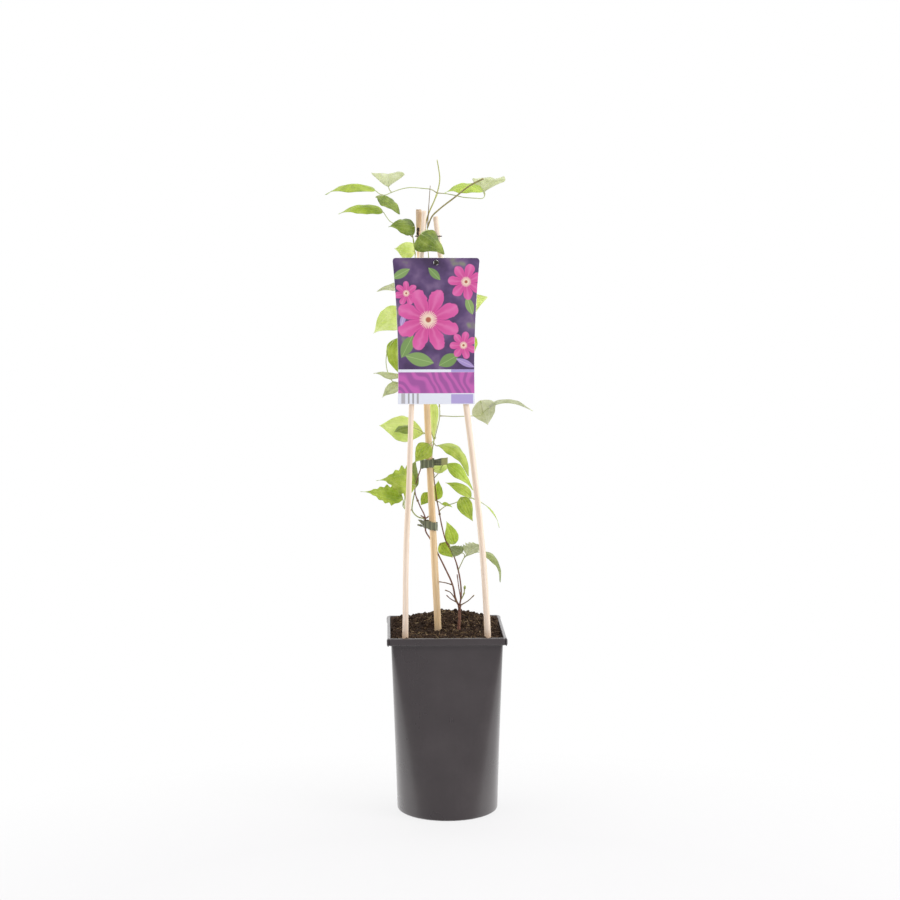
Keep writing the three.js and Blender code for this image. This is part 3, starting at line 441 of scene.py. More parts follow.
fibre, tree, shader = finish("compost_fibre", Roughness=0.85, Specular_IOR_Level=0.2)
dress(shader, tones(speckle(space(tree), 160.0, 3.0), 0.3, "5a4430", 0.5, "8f7757", 0.68, "bba684"))
chance = random.Random(13)
fibres = Build()
for _ in range(420):
    x, y = chance.uniform(-57, 57) + LEAN, chance.uniform(-57, 57)
    if any(math.hypot(x - a, y - b) < r + 3 for a, b, r in STANDING):
        continue
    heading, reach = chance.uniform(0, 6.28), chance.uniform(2, 6.5)
    route = []
    for _ in range(5):
        route.append((x, y, float(soil_height(x, y)) + soil_relief(x, y) + chance.uniform(0.2, 1.5)))
        heading += chance.uniform(-0.7, 0.7)
        x = max(-61 + LEAN, min(61 + LEAN, x + reach * 0.5 * math.cos(heading)))
        y = max(-61, min(61, y + reach * 0.5 * math.sin(heading)))
    width = chance.uniform(0.13, 0.34)
    rod(fibres, route, lambda t: width * (1.05 - 0.6 * t), around=4, steps=8)
fit(fibres.piece("compost_fibres", fibre), "soil")

# ---------------------------------------------------------------- canes
# Three thin canes stand in the compost and lean together at the top. Two are pale stripped sticks,
# the middle one is brown bamboo with joints. All are sawn off square, and the bamboo's end has split.
CANE_ROUTES = {
    "cane_left": [(-52, -47, 140), (-50, -44, 214), (-48.8, -40, 310), (-45, -36, 396), (-42, -33, 481),
                  (-30, -25, 657), (-27, -22, 701.5)],
    "cane_middle": [(-8, -2, 140), (-11, -3, 211), (-20, -7, 392), (-24, -9, 479), (-32, -13, 657),
                    (-33, -14, 703)],
    "cane_right": [(48, -49, 140), (45, -46, 214), (40, -42, 301), (28, -36, 419), (8, -27, 567),
                   (-8, -21, 648), (-14, -17, 695)],
}
BAMBOO_JOINTS = (0.07, 0.52, 0.79, 0.92)     # shares of its length
DAMP_LINE = 224                   # up to here the compost has darkened them


def read(tree, name):
    """What the piece's points say under this name."""
    return put(tree, "Attribute", attribute_name=name)["Vector"]


def split(vector):
    return put(vector.id_data, "SeparateXYZ", {0: vector})


def drawn_grain(tree, given):
    """Streaks and fibres that run along a rod."""
    stretch = put(tree, "CombineXYZ", {"X": given["Across"], "Y": given["Across"], "Z": given["Along"]})[0]
    drawn = put(tree, "VectorMath", {0: read(tree, "lie"), 1: stretch}, operation="MULTIPLY")[0]
    drawn = put(tree, "VectorMath", {0: drawn, 3: MM}, operation="SCALE")[0]
    return {"Streaks": speckle(drawn, 1.0, 3.0), "Fibres": speckle(drawn, 4.2, 4.0)}


grain = effect("grain", {"Across": 900.0, "Along": 22.0}, drawn_grain)


def cane_finish(name, gloss, across, dark, plain, light, stain):
    """Stripped cane: fine streaks along it, a stain on bamboo's joints and in the damp, and in that colour a
    darker band at the top.
    """
    material, tree, shader = finish(name, Specular_IOR_Level=0.4)
    wood = use(tree, grain, Across=across, Along=16.0)
    streak = mingled(wood["Streaks"], wood["Fibres"], 0.7)
    colour = tones(streak, 0.3, dark, 0.5, plain, 0.7, light)
    dress(shader, between(split(read(tree, "share"))["Y"], colour, stain), linear(streak, 0.2, gloss),
          wood["Fibres"], 0.35)
    return material


pale_cane = cane_finish("pale_cane", 0.42, 700.0, "dec4aa", "f0dcc6", "faeee2", "cfa274")
bamboo = cane_finish("bamboo", 0.3, 620.0, "d6b07c", "eecf9f", "f7e2be", "bda58f")
cut_end, tree, shader = finish("cane_cut_end", Roughness=0.85, Specular_IOR_Level=0.2)
pith = speckle(space(tree), 900.0, 4.0)
dress(shader, tones(pith, 0.35, "8d7358", 0.6, "c9b08c"), None, pith, 0.8, 0.0008)


def cane(name, slot, material, radius, end_radius, seed, joints=(), split_top=False):
    """A cane with its joints, each a swollen ring with a groove under it, and a sawn top with a bevel."""
    route = CANE_ROUTES[name]
    steps, around = 260, 28
    length = smooth_route(route, steps)[1]

    def thickness(t):
        size = radius + (end_radius - radius) * t
        for at in joints:
            off = (t - at) * length
            size += 0.5 * math.exp(-(off / 2.6) ** 2) - 0.45 * math.exp(-((off + 1.7) / 0.7) ** 2)
        knots = 0.06 * math.sin(17 * t + seed) + 0.05 * math.sin(41 * t + 2 * seed)
        return size + knots - 0.35 * max(0, 1 - (1 - t) * length / 0.9)

    build = Build()
    rod(build, route, thickness, around, steps,
        relief=lambda t, turn: 0.012 * np.sin(2 * turn + 5 * t + seed) + 0.008 * np.sin(5 * turn + 21 * t))
    points, lie, marks = build.points[0], build.lie[0], build.share[0]
    along = marks[:, 0]
    ring = sum(0.75 * np.exp(-((along - at) * length / 0.9) ** 2)
               + 0.3 * np.exp(-((along - at) * length / 6) ** 2) for at in joints)
    damp = 0.5 * np.clip((DAMP_LINE - points[:, 2]) / 12, 0, 1)
    # Each cane turns towards its stain colour at the top: strongly over the split bamboo's last 26 mm, a
    # little over the others' last 5 mm.
    darker_top, reach = (0.75, 26) if split_top else (0.15, 5)
    marks[:, 1] = np.clip(ring + damp + darker_top * np.clip(1 - (1 - along) * length / reach, 0, 1), 0, 0.9)
    if split_top:
        top = along > 1 - 7 / length
        turn = np.arctan2(lie[:, 1], lie[:, 0])[top]
        points[top, 2] += (0.9 * np.sin(3 * turn + 1) - 0.5) * (along[top] - 1 + 7 / length) * length / 7
    build.looks[-around:] = [1] * around
    fit(build.piece(name + "_rod", material, cut_end), slot, name)


cane("cane_left", "pale_cane", pale_cane, 3.5, 2.8, 1)
cane("cane_right", "pale_cane", pale_cane, 3.8, 3.0, 4)
cane("cane_middle", "bamboo", bamboo, 4.3, 3.4, 2, BAMBOO_JOINTS, True)

# ---------------------------------------------------------------- woody vine
# One plant: a short trunk forks into two thin wiry stems that climb the canes. The bark is brown and
# stringy, the joints are swollen, and the older shoots have been cut back to stubs.
TRUNK = [(11, -4, 180), (13, -4, 213), (14, -4, 228), (14, -4, 243)]
LEFT_STEM = [
    (14, -4, 242), (10, -4, 249), (6, -2, 267), (-3, 1, 287), (-11, 3, 303), (-20, 2, 321), (-25.5, -2, 331),
    (-25.3, -6, 342), (-27, -8, 350.5), (-32.5, -8, 362), (-38, -8, 379), (-35, -8, 394), (-30.3, -8, 408),
    (-29.4, -8.2, 414.5), (-27.8, -11, 419), (-24.8, -13.4, 422.5), (-20.8, -14, 427), (-17.2, -11.6, 431.5),
    (-15.9, -6.5, 437.5), (-18.5, -1.8, 446), (-23.5, -1.6, 460), (-26, -1.6, 479), (-38, -2, 519),
    (-44, -2, 566), (-41, -2, 612), (-37, -3, 644), (-38, -5, 660), (-40, -7, 674)]
RIGHT_STEM = [
    (14, -4, 242), (16, -2, 254), (15, 2, 272), (10, 4, 294), (3.4, 4, 309), (-1.6, 3, 318.3),
    (-5.9, 3, 333.7), (-10.4, 2, 357.5), (-12.3, 1.2, 367), (-14.5, 0.4, 384.3), (-15.6, -0.2, 392),
    (-16.6, -1.5, 401.5), (-17.5, -2.5, 412.3), (-17.9, -2.7, 421.6), (-16.1, -2.6, 435.6),
    (-12.9, -2.3, 447.3), (-9, -2, 465.5), (-9.4, -2, 479), (-12, -2, 519), (-17, -3, 566), (-20, -4, 612),
    (-22, -7, 652), (-24, -12, 671), (-23, -14, 685)]
CUT_TOP = [(-23, -14, 683), (-21, -18, 689), (-17.5, -21.5, 696), (-9, -22, 704), (8, -23, 717),
           (25, -26, 730), (40, -29, 737.5)]
DRY_TIP = [(-23, -14, 684), (-22.5, -14.5, 694), (-21, -16, 717), (-20, -17.5, 730)]
SIDE_LOOP = [(-25.9, -7.2, 346.8), (-30, -5.5, 346.8), (-35.5, -3, 348.5), (-41, -2, 355), (-40.5, -4, 366),
             (-38.2, -7.9, 378)]
STUBS = [                         # each with its thickness at the foot and how green it is
    ([(9, -4, 251), (3, -6, 259), (-3, -8, 262)], 0.72, 0.1),
    ([(11.5, -4, 246.5), (4, -1, 250), (-1, 2, 254)], 0.72, 0),
    ([(15, -4, 243), (24, -7, 249), (31, -9, 256)], 0.72, 0.2),
    ([(14, -5, 243), (15, -8, 252), (13, -9, 265), (11, -10, 281)], 0.72, 0),
    ([(6, -2, 267), (-2, -5, 270), (-10, -8, 272)], 0.72, 0.1),
    ([(16, -2, 250), (19, -4, 256), (20, -4, 263)], 0.72, 0.75),
    ([(-25.9, -7.2, 346.8), (-29, -9.5, 349), (-31.5, -10, 350.5)], 1, 0),
    ([(-25.9, -7.2, 346.8), (-23.5, -11, 348.5), (-22.5, -12.5, 350)], 1, 0)]
GREEN_LINE = 405                  # above it the climbing stems are green
JOINTS_LEFT = (0.02, 0.16, 0.305, 0.44, 0.52, 0.625, 0.78, 0.86, 0.985)
JOINTS_RIGHT = (0.1, 0.17, 0.255, 0.36, 0.45, 0.54, 0.68, 0.8, 0.98)


def stem_finish(name, across, along, usual, second, depth, strength=0.5, woody=False, **sockets):
    """The skin of a stem: fine strings along it, in a second set of tones where the piece says so."""
    material, tree, shader = finish(name, **sockets)
    wood = use(tree, grain, Across=across, Along=along)
    strings = mingled(wood["Streaks"], wood["Fibres"], 0.6) if woody else wood["Streaks"]
    dress(shader, between(split(read(tree, "share"))["Y"], tones(strings, *usual), tones(strings, *second)),
          linear(strings, 0.3, 0.45) if woody else None, strings if woody else wood["Fibres"], strength,
          depth)
    return material


bark = stem_finish("bark", 1500.0, 130.0, (0.34, "4f3129", 0.5, "7a5142", 0.66, "a8826c"),
                   (0.34, "84904a", 0.5, "a9b565", 0.66, "c6cf8c"), 0.0006, 0.9, True, Specular_IOR_Level=0.3)
cut_wood, tree, shader = finish("cut_wood", Roughness=0.8, Specular_IOR_Level=0.2)
dress(shader, tones(speckle(space(tree), 1500.0, 3.0), 0.35, "a98d66", 0.6, "d8c49c"))


def strings_of_bark(t, turn):
    return (0.06 * np.sin(4 * turn + 31 * t) + 0.045 * np.sin(7 * turn - 57 * t + 1)
            + 0.04 * math.sin(173 * t + 0.7) + 0.03 * math.sin(91 * t))


def stem(build, route, first, last, joints=(), around=12, mark=0.0, swell=0.35, cut=False, tapered=1):
    """A woody stem with a swollen joint at each place.

    One that tapers faster than its length keeps its end's thickness from there on and is green at the top.
    """
    length = smooth_route(route, 8)[1]

    def thickness(t):
        size = first + (last - first) * min(1, tapered * t)
        return size + sum(swell * math.exp(-((t - at) * length / 2.2) ** 2) for at in joints)

    rod(build, route, thickness, around, max(8, int(length * 0.9)), relief=strings_of_bark, mark=mark)
    if tapered > 1:
        build.share[-1][:, 1] = 0.9 * np.clip((build.points[-1][:, 2] - GREEN_LINE) / 30, 0, 1)
    if cut:
        build.looks[-around:] = [1] * around


def bud(build, base, aim, size, mark):
    """A small pointed bud of two scales, sitting in the angle of a joint."""
    base, aim = np.array(base, float), unit(np.array(aim, float))
    route = [base - aim * 0.5, base + aim * size * 0.3, base + aim * size * 0.7, base + aim * size]
    rod(build, route, lambda t: 0.34 * size * max(0.05, math.sin(math.pi * min(1, t * 0.9 + 0.12)) ** 0.8),
        around=8, steps=10, mark=mark)


vine = Build()
stem(vine, TRUNK, 1.5, 1.8, (0.55, 1.0), 16, swell=0.4)
stem(vine, LEFT_STEM, 1.1, 0.5, JOINTS_LEFT, 14, swell=0.2, tapered=2.1)
stem(vine, RIGHT_STEM, 0.95, 0.5, JOINTS_RIGHT, 14, swell=0.2, tapered=2.1)
stem(vine, SIDE_LOOP, 0.75, 0.72, around=10, mark=1.0)
stem(vine, CUT_TOP, 0.85, 0.95, (0.97,), mark=0.45, swell=0.2, cut=True)
stem(vine, DRY_TIP, 0.6, 0.35, (0.3,), 8, mark=0.2, swell=0.2)
for route, thick, green in STUBS:
    stem(vine, route, thick, 0.5, (0.06, 0.93), 9, green, 0.2, cut=True)
for route, joints in ((LEFT_STEM, JOINTS_LEFT), (RIGHT_STEM, JOINTS_RIGHT)):
    middle, _ = smooth_route(route, 200)
    for k, at in enumerate(joints):
        p, q = middle[int(at * 199)], middle[int(at * 199) + 1]
        out = unit(np.cross(q - p, (math.cos(2.4 * k), math.sin(2.4 * k), 0.2)))
        for way in (-1, 1):
            bud(vine, p + out * way * 0.8, out * way * 0.8 + unit(q - p) * 1.5, 1.6, 0.6)
bud(vine, (20, -4, 262.5), (0.1, -0.1, 1), 4.6, 1.0)
bud(vine, (18.6, -3.6, 256), (0.7, -0.5, 1), 3.2, 1.0)
fit(vine.piece("vine_wood", bark, cut_wood), "bark", "vine_stem")

# ---------------------------------------------------------------- young shoot
# The year's growth at the top: a thin yellow-green shoot, ridged, downy, with the first pair of leaf
# stalks at its joint and a soft bare tip that looks for the next hold.
LEADER = [(-25.8, -10.9, 669.5), (-25.7, -10.9, 676), (-25.4, -11, 685), (-22, -11.6, 698), (-15, -11, 714),
          (-12, -10, 722), (-9, -10, 737), (-10, -9, 748), (-12, -8, 759.5)]
green_shoot = stem_finish("green_shoot", 1300.0, 60.0, (0.34, "8d9440", 0.5, "b3b765", 0.68, "cdd08c"),
                          (0.34, "7a5a3a", 0.6, "a3875a"), 0.0004, Roughness=0.5, Specular_IOR_Level=0.35)
downy, tree, shader = finish("down", Roughness=0.7, Specular_IOR_Level=0.2)
dress(shader, tones(speckle(space(tree), 300.0), 0.3, "cdd0a4", 0.7, "eef0d8"))

shoot = Build()
shoot_length = smooth_route(LEADER, 8)[1]
rod(shoot, LEADER, lambda t: 0.9 - 0.35 * t + 0.35 * math.exp(-((t - 0.56) * shoot_length / 2) ** 2)
    + 0.2 * math.exp(-(t * shoot_length / 3) ** 2), around=14, steps=110,
    relief=lambda t, turn: 0.05 * np.cos(6 * turn))
shoot.share[0][:, 1] = np.clip(0.75 - 1.6 * shoot.share[0][:, 0], 0, 1)
bud(shoot, (-11.9, -8, 758.3), (-0.25, 0.1, 1), 0.8, 0.0)


def down(build, route, radius, amount, seed, reach=0.9):
    """Fine pale hairs that stand out from a young stalk."""
    chance = np.random.default_rng(seed)
    middle, _ = smooth_route(route, 160)
    for at in chance.integers(2, 156, amount):
        ahead = unit(middle[at + 1] - middle[at])
        out = unit(np.cross(ahead, chance.normal(size=3)))
        across = np.cross(out, ahead) * 0.035
        foot = middle[at] + out * radius * 0.9
        point = foot + (out + ahead * chance.uniform(-0.2, 0.6)) * reach * chance.uniform(0.5, 1)
        behind = foot - across * 0.5
        build.add([foot + across, behind + ahead * 0.03, behind - ahead * 0.03, point],
                  [(0, 1, 3), (1, 2, 3), (2, 0, 3)])


shoot_down = Build()
down(shoot_down, LEADER, 0.75, 420, 5)
fit(shoot.piece("young_shoot", green_shoot), "young_stem", "leader")
fit(shoot_down.piece("young_shoot_down", downy, smooth=False), "young_stem")

# ---------------------------------------------------------------- compound leaves
# Each leaf is two or three thin blades on wiry stalks that spring from the vine. A blade is ovate with a
# drawn-out point, arched and folded along its rib, quilted between its veins and paler underneath.
# A leaf's row is its slot and its blades. A blade is its tone, its width, its tip, the way its upper side
# looks, its form (arch, fold, belly, point, toothed or not) and its stalk's points.
LEAVES = {
    "frond_top_left": ("leaf_mid", [
        ("mid", 27, (-140, -6, 720), (0.1, -0.4, 1), (0.17, -0.35), [(-12, -10, 722), (-19, -10, 726),
         (-27, -11, 727), (-43, -12, 728), (-54, -13, 726), (-65, -14, 722), (-71, -15, 719.5),
         (-77, -15, 720.5), (-82.5, -13, 724.5)]),
        ("grey", 38, (-69, 26, 737), (0, -0.3, 1), (0.3, 0.15), [(-64, -14, 722.5), (-66, -13, 725),
         (-67.5, -12, 728.5)]),
        ("dark", 23, (-54.5, -27, 697.5), (0.45, -0.6, 0.7), (0.15, -0.1, 0.9), [(-74, -15, 719.7),
         (-78, -16.5, 719), (-82, -17.5, 717)])]),
    "frond_top_right": ("leaf_grey", [
        ("bright", 27, (-4, -4, 722), (0, -0.5, 0.9), (0.17, -0.1), [(-12, -10, 722), (-1, -12, 721),
         (9, -13, 719), (18, -14, 717), (31, -15, 716), (40, -15, 716), (42, -14, 719), (40, -13, 723.5)]),
        ("grey", 39, (62, 26, 736), (-0.1, -0.3, 1), (0.2, 0.15), [(42, -14, 719), (42.5, -13, 721.5),
         (42, -12, 723)])]),
    "leaf_crown_left": ("leaf_dark", [
        ("mid", 22, (-125, -12, 698), (0, -0.55, 0.85), (0.14, -0.2, 0.55), [(-40, -7, 672), (-50, -9, 680),
         (-57, -10, 685), (-66, -11, 690), (-70, -12, 695), (-74, -13, 700.5)])]),
    "leaf_crown_dark": ("leaf_dark", [
        ("dark", 29, (-68, -20, 683.5), (0.05, -0.7, 0.7), (0.15, -0.25, 0.5), [(-40, -7, 674),
         (-41.5, -9, 677.5), (-40.5, -11.5, 680.5), (-37.5, -14.5, 683)])]),
    "leaf_crown_front": ("leaf_dark", [
        ("dark", 36, (-4.5, -42, 652.5), (0.36, -0.82, 0.45), (0.08, -0.42, 0.46), [(-23.8, -12.4, 673.5),
         (-21, -18, 678), (-23.5, -28, 679.5), (-31, -36.5, 675.5)])]),
    "leaf_crown_pale": ("leaf_pale", [
        ("pale", 25, (-61, 5, 659), (0.1, -0.8, 0.5), (0.08, -0.1), [(-37, -3, 646), (-37, 1, 650),
         (-37, 3, 655)])]),
    "frond_label_left_upper": ("leaf_pale", [
        ("grey", 15, (-81.5, -2, 610), (-0.2, 0.6, 0.8), (0.08, 0.2), [(-44, -2, 572), (-48, 0, 576),
         (-51, 1.5, 585), (-52, 2, 598), (-52, 2, 607), (-49, 1, 614)]),
        ("pale", 38, (-85.5, -14, 562), (-0.5, -0.8, 0.4), (0.1, 0.1), [(-51.5, 1.8, 591), (-50, -1, 589.5),
         (-47.5, -4, 585)]),
        ("mid", 24, (-18, 36, 628), (0.2, -0.2, 1), (0.12,), [(-52, 2, 604), (-47, 8, 612),
         (-40, 14, 617)])]),
    "frond_label_left_lower": ("leaf_dark", [
        ("mid", 27, (-55, 2, 513), (-0.7, -0.7, 0), (0.12,), [(-38, -2, 519), (-43, -2.5, 513),
         (-48, -3, 509), (-55, -3, 505), (-63, -2, 506), (-69, -1, 517), (-71, -1, 531), (-68, 0, 545),
         (-62, 1, 553), (-57, 1, 556)]),
        ("grey", 19, (-86, -7, 516), (0, -0.35, 0.95), (0.08, -0.4), [(-52, -3, 507), (-52, -3.5, 510),
         (-54, -4, 513)]),
        ("grey", 17, (-76, -11, 488), (-0.3, -0.75, 0.6), (0.1,), [(-50, -3, 509), (-51, -4, 505),
         (-53, -5, 502)])]),
    "frond_label_right": ("leaf_bright", [
        ("pale", 35, (46, -12, 604), (0.3, -0.8, 0.55), (0.1,), [(-19, -3.5, 592), (-12, -4, 594),
         (-3, -5, 590), (6, -7, 583)]),
        ("bright", 28, (21, -9, 524), (0.4, -0.9, 0.2), (0.1,), [(-3, -5, 590), (6, -6, 580), (13, -6, 570),
         (18, -6, 563)]),
        ("mid", 24, (22, 38, 614), (0, -0.2, 1), (0.12,), [(-6, -4.5, 591.5), (0, 2, 598), (5, 10, 604)])]),
    "frond_back_high": ("leaf_mid", [
        ("mid", 27, (2, 64, 618), (0, 0.3, 1), (0.14,), [(-21, -5, 628), (-18, 4, 633), (-14, 14, 632),
         (-10, 24, 628)]),
        ("mid", 25, (-52, 50, 628), (0, 0.4, 1), (0.14,), [(-14, 14, 632), (-22, 20, 634), (-28, 24, 634)])]),
    "frond_back_middle": ("leaf_mid", [
        ("mid", 29, (-20, 70, 528), (0, 0.5, 0.9), (0.14,), [(-43.5, -2, 545), (-40, 8, 550),
         (-34, 18, 550), (-28, 28, 546)]),
        ("bright", 23, (-60, 60, 532), (-0.2, 0.5, 0.9), (0.12,), [(-34, 18, 550), (-42, 24, 549),
         (-48, 28, 547)]),
        ("mid", 25, (12, 36, 552), (0.3, 0.3, 1), (0.12,), [(-34, 18, 550), (-26, 19, 554),
         (-20, 20, 556)])]),
    "frond_label_foot": ("leaf_grey", [
        ("grey", 20, (98, -22, 473), (0.05, 0.25, 1), (0.15, 0.35), [(-9, -2, 466), (0, -6, 466),
         (8, -11, 466), (18, -14, 466.5), (28, -15, 467), (37, -16, 467.5), (43, -17, 473),
         (47, -18, 476)]),
        ("grey", 31, (46, -23, 457), (0.2, 0.85, 0.35), (0.06, 0.1), [(40, -16.5, 470.5), (39, -14.5, 478),
         (37.5, -14.5, 485)])]),
    "frond_middle_left": ("leaf_pale", [
        ("pale", 33, (-79.5, 0, 455), (-0.1, -0.8, 0.5), (0.06, 0.1, 0.85), [(-18.8, -1.75, 447),
         (-22, 1, 446.5), (-25, 2.5, 445.5), (-28, 3.2, 444.6)]),
        ("dark", 17, (-62.5, -17, 448.5), (0, -0.5, 0.85), (0.16, -0.4, 0.8), [(-25, 2.5, 445.5),
         (-28, -1, 446.5), (-33.5, -5, 450), (-39.5, -8, 453)])]),
    "leaf_behind_cane": ("leaf_pale", [
        ("pale", 15, (-16, 3, 438), (0.3, -1, 0.1), (0.05, 0.2), [(-9.6, -2, 481.5), (-12.5, 2, 485),
         (-17, 4, 487), (-20, 4, 486)])]),
    "leaf_middle_small": ("leaf_bright", [
        ("mid", 22, (-38.5, -20.5, 413.5), (-0.2, -0.95, 0.3), (0.06, 0.15, 0.62, 1.25),
         [(-14.2, -2.45, 442), (-14, -10, 441), (-17, -16, 438), (-21, -18.5, 434.5)])]),
    "leaf_middle_arching": ("leaf_bright", [
        ("mid", 27, (24, -21, 397.5), (0.6, -0.5, 0.65), (0.29, -0.2, 0.75), [(-16.3, -2.6, 434.5),
         (-15, -4.5, 433.5), (-13.2, -6, 431.5)])]),
    "frond_middle_right": ("leaf_bright", [
        ("bright", 20, (30, -10, 379.5), (0.4, -0.7, 0.6), (0.08, 0.15, 0.62, 1.6), [(-15.8, -0.35, 393),
         (-10, 3, 399), (-6, 3, 407), (-1.9, -4, 410)]),
        ("pale", 15, (5, 9, 405.5), (0.1, -0.8, 0.6), (0.1,), [(-10, 3, 399), (-13, 6, 399),
         (-16.6, 7, 401.5)])]),
    "frond_lower_right": ("leaf_bright", [
        ("bright", 8, (59.7, -21, 337), (0.8, 0, 0.6), (0.13, -0.3), [(-9.7, 2.2, 354), (-2, -3, 360.5),
         (9, -8, 365), (19, -12, 370), (28, -15, 371), (35, -17, 369), (41, -18, 365)]),
        ("mid", 15, (-3, -9, 389), (-0.2, -0.6, 0.75), (0.1,), [(31, -16, 370), (29, -15, 371),
         (27, -14, 372)]),
        ("mid", 18, (28.7, -21, 345), (-0.2, -0.95, 0.2), (0.05, 0.15), [(15, -10.5, 368), (15, -13, 371),
         (15.5, -15, 372.7)])]),
    "frond_lower_left": ("leaf_mid", [
        ("mid", 25, (-101.5, -21, 380.5), (0, -0.8, 0.6), (0.07, 0.25, 0.55, 1.9, True), [(-41.2, -2, 356),
         (-47, -6, 356.5), (-52, -12, 362), (-52, -14.5, 370)]),
        ("mid", 38, (-83.5, -17, 392.5), (0.05, -0.85, 0.5), (0.19, 0.1, 0.55, 2.1, True), [(-52, -12, 362),
         (-48, -12, 373), (-42, -11.5, 380), (-37, -11.5, 385)]),
        ("dull", 24, (-37, 3, 413), (-0.2, -0.95, 0.2), (0.06,), [(-50, -9, 358), (-50, -5, 368),
         (-48, -2, 378)])]),
    "leaf_behind_tie": ("leaf_bright", [
        ("bright", 16, (-10.2, 8, 389.5), (0.3, -1, 0), (0.05,), [(-11.7, 1.45, 364), (-12, 5, 365),
         (-14.9, 7, 366.5)]),
        ("mid", 13, (-31, 11, 359.5), (0, -0.9, 0.4), (0.08,), [(-12, 5, 365), (-17, 8, 371),
         (-20, 8, 374.5)]),
        ("bright", 6, (6, 1, 358.5), (0, -0.6, 0.8), (0.1,), [(-12, 5, 365), (-9, 5, 364), (-6.5, 4, 362)])]),
    "frond_low_pale": ("leaf_pale", [
        ("bright", 17, (-0.9, 6, 341.5), (0.35, -0.9, 0), (0.05, 0.1), [(-1.2, 3.1, 317.5), (4, 7, 317),
         (7.9, 8, 313.5)]),
        ("bright", 16, (6.7, 9, 297.5), (0, -0.95, 0.3), (0.06, 0.1), [(4, 7, 317), (-2, 9, 316),
         (-9, 9, 314)])]),
    "frond_low_right": ("leaf_grey", [
        ("dull", 18, (60.5, -27, 274), (0.75, -0.35, 0.6), (0.28, -0.2), [(13, 3, 284), (17, -2, 294),
         (20, -4, 300), (27, -13, 305), (35, -21, 309)]),
        ("dull", 18, (2, -14, 314), (0.1, 0.85, 0.5), (0.15, -0.3, 0.62, 1.1, True), [(20, -4, 300),
         (19.5, -7, 304), (17, -9, 306)]),
        ("grey", 24, (40, -13, 316), (-0.3, 0.8, 0.6), (0.1, 0.25, 0.62, 1.1, True), [(20, -4, 300),
         (21, -5, 301.5), (22, -6, 303)])]),
}
CUT_ROWS = (0.0, 0.08, 0.2, 0.28, 0.33, 0.43, 0.48, 0.58, 0.63, 0.72, 0.76, 0.86, 1.0)
CUT_NOTCHES = (1.0, 1.0, 0.92, 1.2, 0.82, 1.22, 0.84, 1.24, 0.84, 1.16, 0.88, 1.0, 1.0)   # a toothed edge
BLADE_ROWS, BLADE_COLUMNS = 44, 21
BLADE_THICK = 0.36

plus, minus, over, larger, size_of = (
    partial(calc, name) for name in ("ADD", "SUBTRACT", "DIVIDE", "MAXIMUM", "ABSOLUTE"))


def leaf_veins(tree, given):
    """A rib, two pairs of long veins beside it, slanting ones and the net between them."""
    lie = read(tree, "lie")
    flat, shared = split(lie), split(read(tree, "share"))
    off_rib, aside = size_of(flat["X"]), size_of(shared["X"])

    def vein(distance, width, strength):
        return times(minus(1.0, over(distance, width), clamp=True), strength)

    rib = vein(off_rib, linear(shared["Y"], -0.55, 0.8), 1.0)
    half_width = over(off_rib, larger(aside, 0.04))
    bent = speckle(lie, 0.16, 1.0)
    for at, width, strength in ((0.4, 0.75, 0.85), (0.76, 0.6, 0.6)):
        gap = size_of(minus(plus(aside, linear(bent, 0.14, -0.07)), at))
        rib = larger(rib, vein(times(gap, half_width), width, strength))
    slant = linear(off_rib, -0.75, linear(bent, 3.0, flat["Y"]))
    rib = larger(rib, vein(calc("PINGPONG", slant, 2.6), 0.5, 0.42))
    meshes = put(tree, "TexVoronoi", {"Vector": lie, "Scale": 0.42}, feature="DISTANCE_TO_EDGE")["Distance"]
    return {"Ribs": rib, "Net": minus(1.0, times(meshes, 7.0), clamp=True),
            "Clouds": speckle(lie, 0.09, 4.0, 0.6)}


veins = effect("leaf veins", {}, leaf_veins)


def leaf_side(name, dark, plain, light, vein, glow, gloss, vein_share, relief, through=0.36):
    """One side of a blade. glow is the colour of the light that comes through it, and through its share."""
    material, tree, shader = finish(name, Specular_IOR_Level=0.55, Sheen_Weight=0.3, Sheen_Roughness=0.35)
    pattern = use(tree, veins)
    colour = tones(pattern["Clouds"], 0.34, dark, 0.5, plain, 0.68, light)
    colour = between(times(pattern["Net"], vein_share * 0.4), colour, vein)
    dress(shader, between(times(pattern["Ribs"], vein_share), colour, vein),
          linear(pattern["Clouds"], 0.25, gloss), linear(pattern["Net"], 0.25, pattern["Ribs"]), 0.7, relief)
    normal = shader.inputs["Normal"].links[0].from_socket
    shine = put(tree, "BsdfTranslucent", {"Color": paint(glow), "Normal": normal})[0]
    mixed = put(tree, "MixShader", {0: through, 1: shader.outputs[0], 2: shine})[0]
    tree.links.new(mixed, tree.nodes["Material Output"].inputs["Surface"])
    return material


LEAF_TONES = {                    # the upper side's dark, plain, light, vein and glow; then the underside's
    "dark": ("485c16 718124 a0ad4a ccd48e b8d440", "7f9350 96a868 adbd83 c8d2a4 b4cf4a"),
    "mid": ("849a28 adbb3c c8d262 e0e6a2 cfe650", "a0b462 b8c97c d0dba0 e3eac6 cfe650"),
    "bright": ("92aa32 b0c244 ccd868 e2e8a4 dcf060", "aec26c c6d686 dae5a8 e9efce dcf060"),
    "pale": ("cadc78 dce996 edf4b8 f6f9da ecf892", "d2e292 e0ecaa edf4c4 f6f9e4 ecf892"),
    "grey": ("a9b080 c8cca6 dde0c6 eff1e2 d6e08e", "c8ccac dde0c6 edefde f8f9f0 d6e08e"),
    "dull": ("6e7d38 8b9750 aab272 ced2a6 b8cc5a", "8d9b60 a6b27c c0c99c dbe0c4 b8cc5a"),
}
leaf_sides = {tone: (leaf_side(f"leaf_{tone}_upper", *upper.split(), 0.42, 0.4, -0.0004),
                     leaf_side(f"leaf_{tone}_under", *under.split(), 0.5, 0.75, 0.0005))
              for tone, (upper, under) in LEAF_TONES.items()}
